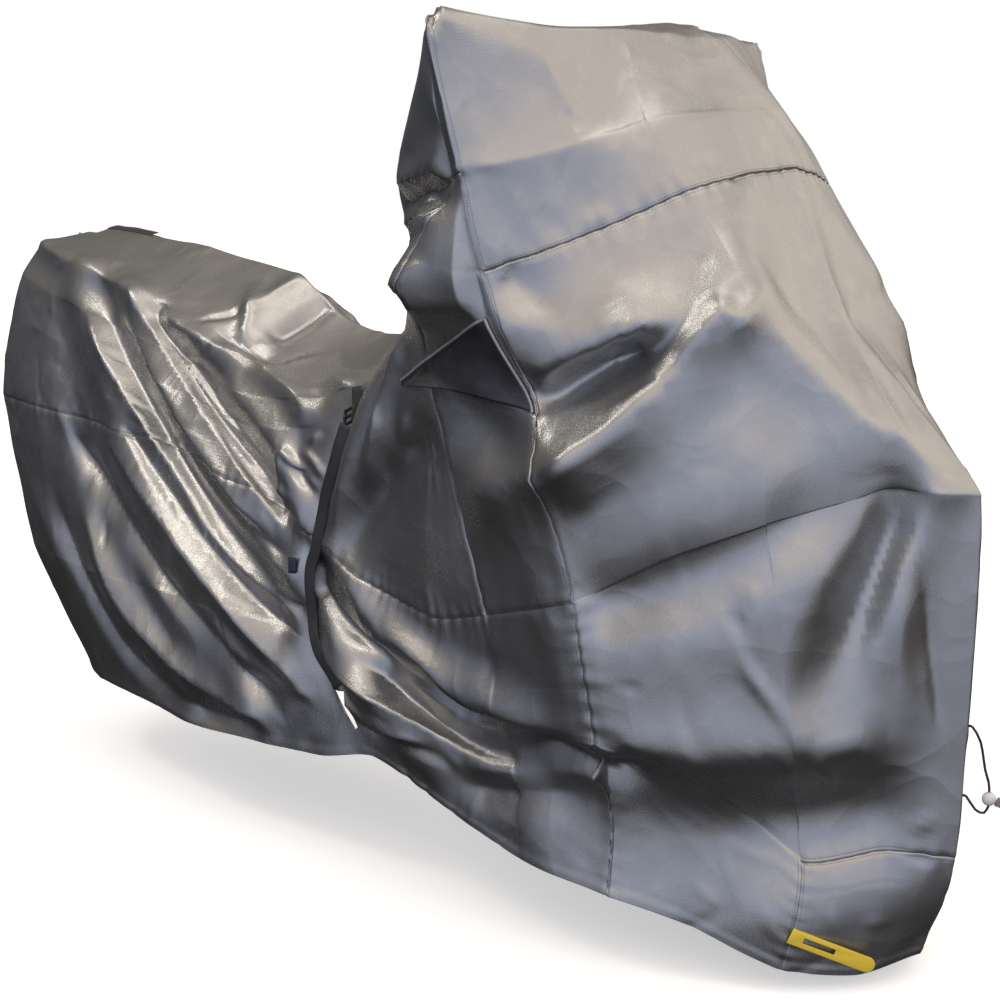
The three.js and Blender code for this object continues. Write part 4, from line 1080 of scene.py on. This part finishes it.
# Lock loop
# A bright yellow loop of stiff webbing at the front hem takes a lock's shackle through its slit.
# It is cut round at the free end.
LOOP_EDGE = 0.0005
LOOP_RIBS = 3.1
LOOP_YELLOW = (0.9, 0.66, 0.03)
LOOP_SOILED = (0.78, 0.5, 0.02)
LOOP_FIBRE = (0.95, 0.78, 0.15)
finish = Finish("yellow_webbing")
place = finish.node("ShaderNodeSeparateXYZ", {}, {0: finish.object_place()}, "X") * MILLIMETRES
fibre = finish.noise(520.0, 3.0, 0.6)
soil = finish.noise(55.0, 4.0, 0.6)
ribs = (place * LOOP_RIBS).math("SINE")
shade = finish.mix(soil, LOOP_YELLOW, LOOP_SOILED)
shade = finish.mix(fibre * 0.35, shade, LOOP_FIBRE)
relief = finish.bump(ribs * 0.4 + fibre * 0.6, 0.0004, 0.6)
yellow = finish.set(Base_Color=shade, Roughness=0.45 + fibre * 0.25, Normal=relief)
loop = rounded_copy("lock_loop", "lock_loop_webbing", LOOP_EDGE, yellow)
keep_piece(loop, "lock_loop")

# Drawcord, toggle and grip tab
# A thin black cord leaves the cloth at two places on the nose and is closed by a white toggle,
# and a short moulded tab on the toggle gives a grip.
CORD_DIAMETER = 0.004
CORD_SIDES = 4
CORD_EXIT = (0.001, 0.008)
CORDS = [
    ("drawcord_upper", (0, 6, 414), [(1010, 12, 392), (1016, 18, 350), (1020, 23, 330)], 1),
    ("drawcord_lower", (0, 8, 306), [(1006, 12, 288), (1016, 20, 283)], -1),
]
TOGGLE = {"at": (1021, 24, 305), "radius": 10.5, "gap": 0.4, "cap": 0.93, "rim": 0.0006}
TAB_EDGE = 0.0012
CORD_BLACK = (0.012, 0.012, 0.013)
CORD_LIT = (0.04, 0.04, 0.043)
TOGGLE_WHITE = (0.8, 0.8, 0.78)
TOGGLE_RUBBED = (0.68, 0.68, 0.65)
TAB_TAUPE = (0.34, 0.3, 0.27)
TAB_RUBBED = (0.22, 0.2, 0.18)
FORWARDS = Vector((1, 0, 0))
BRAID, TAB_GRAIN = (1500.0, 2.0, 0.5), (210.0, 3.0, 0.6)
cord_finish = rubbed_finish("black_cord", BRAID, (CORD_BLACK, CORD_LIT), (0.6, 0.2), (BRAID, 0.0004, 0.6))
white_moulding = rubbed_finish(
    "white_moulding", (160.0, 3.0, 0.6), (TOGGLE_WHITE, TOGGLE_RUBBED), (0.25, 0.2)
)
taupe_moulding = rubbed_finish(
    "taupe_moulding", TAB_GRAIN, (TAB_TAUPE, TAB_RUBBED), (0.5, 0.2), (TAB_GRAIN, 0.0005, 0.5)
)
centre = Vector(to_part(TOGGLE["at"]))
bpy.ops.object.select_all(action="DESELECT")
bpy.ops.mesh.primitive_uv_sphere_add(
    segments=32, ring_count=20, radius=TOGGLE["radius"] / 1000, location=centre
)
toggle = bpy.context.object
toggle.name = "cord_toggle_ball"
bpy.ops.object.transform_apply(location=True, rotation=True, scale=True)
bpy.ops.object.mode_set(mode="EDIT")
bpy.ops.mesh.select_mode(type="FACE")
bpy.ops.mesh.select_all(action="DESELECT")
bpy.ops.object.mode_set(mode="OBJECT")
for face in toggle.data.polygons:
    face.select = abs(face.center.z - centre.z) > TOGGLE["cap"] * TOGGLE["radius"] / 1000
bpy.ops.object.mode_set(mode="EDIT")
bpy.ops.mesh.inset(thickness=TOGGLE["rim"])
bpy.ops.transform.resize(value=(1, 1, TOGGLE["cap"]), center_override=centre)
bpy.ops.object.mode_set(mode="OBJECT")
toggle.data.shade_smooth()
toggle.data.materials.append(white_moulding)
keep_piece(toggle, "cord_toggle")
tab = rounded_copy("cord_tab", "cord_tab_grip", TAB_EDGE, taupe_moulding)
keep_piece(tab, "cord_tab")
for name, exit_place, path, end in CORDS:
    seat, _ = touch(exit_place, -FORWARDS)
    ball = centre + Vector((0, 0, end * (TOGGLE["radius"] + TOGGLE["gap"]) / 1000))
    route = [seat + FORWARDS * out for out in CORD_EXIT] + [Vector(to_part(p)) for p in path] + [ball]
    route = smooth_line([tuple(p * 1000) for p in route]) / 1000
    piece = tube(name + "_line", route, CORD_DIAMETER / 2, CORD_SIDES, cord_finish)
    keep_piece(piece, name)
    length = float(np.linalg.norm(np.diff(route, axis=0), axis=1).sum())

# Camera
# It stands to the right of the nose, a little under the height of the bars, and looks down slightly.
VIEW = {"place": (1.973, -2.375, -0.211), "turn": 43, "tilt": 10, "lens": 66.6}
turn, tilt = math.radians(VIEW["turn"]), math.radians(VIEW["tilt"])
back = Vector((math.sin(turn) * math.cos(tilt), -math.cos(turn) * math.cos(tilt), math.sin(tilt)))
across = Vector((math.cos(turn), math.sin(turn), 0))
upwards = back.cross(across)
camera_data = bpy.data.cameras.new("camera")
camera_data.lens = VIEW["lens"]
camera_data.sensor_width = 36
camera_data.clip_end = 50
camera = bpy.data.objects.new("camera", camera_data)
aim = Matrix((across, upwards, back)).transposed().to_4x4()
camera.matrix_world = Matrix.Translation(VIEW["place"]) @ aim
bpy.context.scene.collection.objects.link(camera)
bpy.context.scene.camera = camera

# Floor and light
# A pale floor and a soft sky that is warm above, cool in front and dark behind. One large lamp
# hangs overhead and a smaller one stands on the right behind the tail.
FLOOR_HEIGHT = -1.423
FLOOR_PALE = (0.86, 0.86, 0.86)
FLOOR_LIT = (0.9, 0.9, 0.895)
bpy.ops.mesh.primitive_grid_add(x_subdivisions=4, y_subdivisions=4, size=60, location=(0, 0, FLOOR_HEIGHT))
floor = bpy.context.object
floor.name = "floor"
bpy.ops.object.transform_apply(location=True)
finish = Finish("pale_floor")
pale = finish.mix(finish.noise(0.6), FLOOR_PALE, FLOOR_LIT)
floor.data.materials.append(
    finish.set(Base_Color=pale, Roughness=0.9, Emission_Color=(1, 1, 1, 1), Emission_Strength=0.5)
)
floor.active_material.cycles.emission_sampling = "NONE"
floor.visible_glossy = False
floor.visible_diffuse = False
floor.select_set(False)

SKY_NEAR = [
    (0.0, (0.03, 0.03, 0.03)), (0.15, (0.05, 0.05, 0.05)), (0.28, (0.4, 0.41, 0.46)),
    (0.45, (0.62, 0.68, 0.88)), (0.6, (0.72, 0.8, 1.08)), (0.7, (0.85, 0.88, 1.02)),
    (0.79, (1.5, 1.3, 1.15)), (1.0, (1.3, 1.18, 1.08)),
]
SKY_REAR = [
    (0.0, (0.015, 0.014, 0.012)), (0.35, (0.02, 0.02, 0.018)), (0.5, (0.06, 0.066, 0.085)),
    (0.62, (0.135, 0.138, 0.15)), (0.72, (0.22, 0.205, 0.175)), (0.84, (0.26, 0.24, 0.21)),
    (1.0, (0.75, 0.7, 0.64)),
]
SKY_LEFT = [
    (0.0, (0.02, 0.018, 0.014)), (0.47, (0.05, 0.045, 0.035)), (0.53, (0.3, 0.27, 0.23)),
    (0.6, (1.2, 1.07, 0.95)), (0.8, (1.45, 1.3, 1.17)), (1.0, (1.2, 1.1, 1.0)),
]
SKY_TURNS = [((0.85, -0.53, 0), -0.42, 0.55), ((0.6, 0.8, 0), 0.25, 0.85)]
world = bpy.data.worlds.new("studio")
world.use_nodes = True
bpy.context.scene.world = world
world.node_tree.nodes.clear()
studio = Nodes(world.node_tree)
direction = studio.node("ShaderNodeTexCoord", {}, {}, "Generated")
height = studio.node("ShaderNodeSeparateXYZ", {}, {0: direction}, "Z") * 0.5 + 0.5
near_sky, rear_sky, left_sky = (
    studio.node("ShaderNodeValToRGB", {"stops": stops}, {0: height})
    for stops in (SKY_NEAR, SKY_REAR, SKY_LEFT)
)
turns = []
for way, start, stop in SKY_TURNS:
    share = studio.node("ShaderNodeVectorMath", {"operation": "DOT_PRODUCT"}, {0: direction, 1: way}, "Value")
    limits = {"Value": share, "From Min": start, "From Max": stop}
    turns.append(studio.node("ShaderNodeMapRange", {"interpolation_type": "SMOOTHSTEP"}, limits))
shades = studio.mix(turns[1], studio.mix(turns[0], rear_sky, near_sky), left_sky)
sky = studio.node("ShaderNodeBackground", {}, {"Color": shades})
white = studio.node("ShaderNodeBackground", {}, {"Color": (1, 1, 1, 1)})
seen = studio.node("ShaderNodeLightPath", {}, {}, "Is Camera Ray")
shown = studio.node("ShaderNodeMixShader", {}, {0: seen, 1: sky, 2: white})
studio.node("ShaderNodeOutputWorld", {}, {0: shown}, None)
bpy.context.scene.view_settings.view_transform = "Standard"
LAMPS = [
    ("overhead", (0.1, -0.3, 2.4), (0, 0, -0.4), 1.6, 12, (1.0, 0.93, 0.85)),
    ("side", (-2.0, -2.0, 2.2), (-0.6, 0, -0.6), 0.8, 23, (1.0, 0.95, 0.88)),
]
for name, spot, target, size, power, colour in LAMPS:
    lamp = bpy.data.lights.new(name, "AREA")
    lamp.size = size
    lamp.energy = power
    lamp.color = colour
    holder = bpy.data.objects.new(name, lamp)
    holder.location = spot
    holder.rotation_euler = (Vector(spot) - Vector(target)).to_track_quat("Z", "Y").to_euler()
    bpy.context.scene.collection.objects.link(holder)
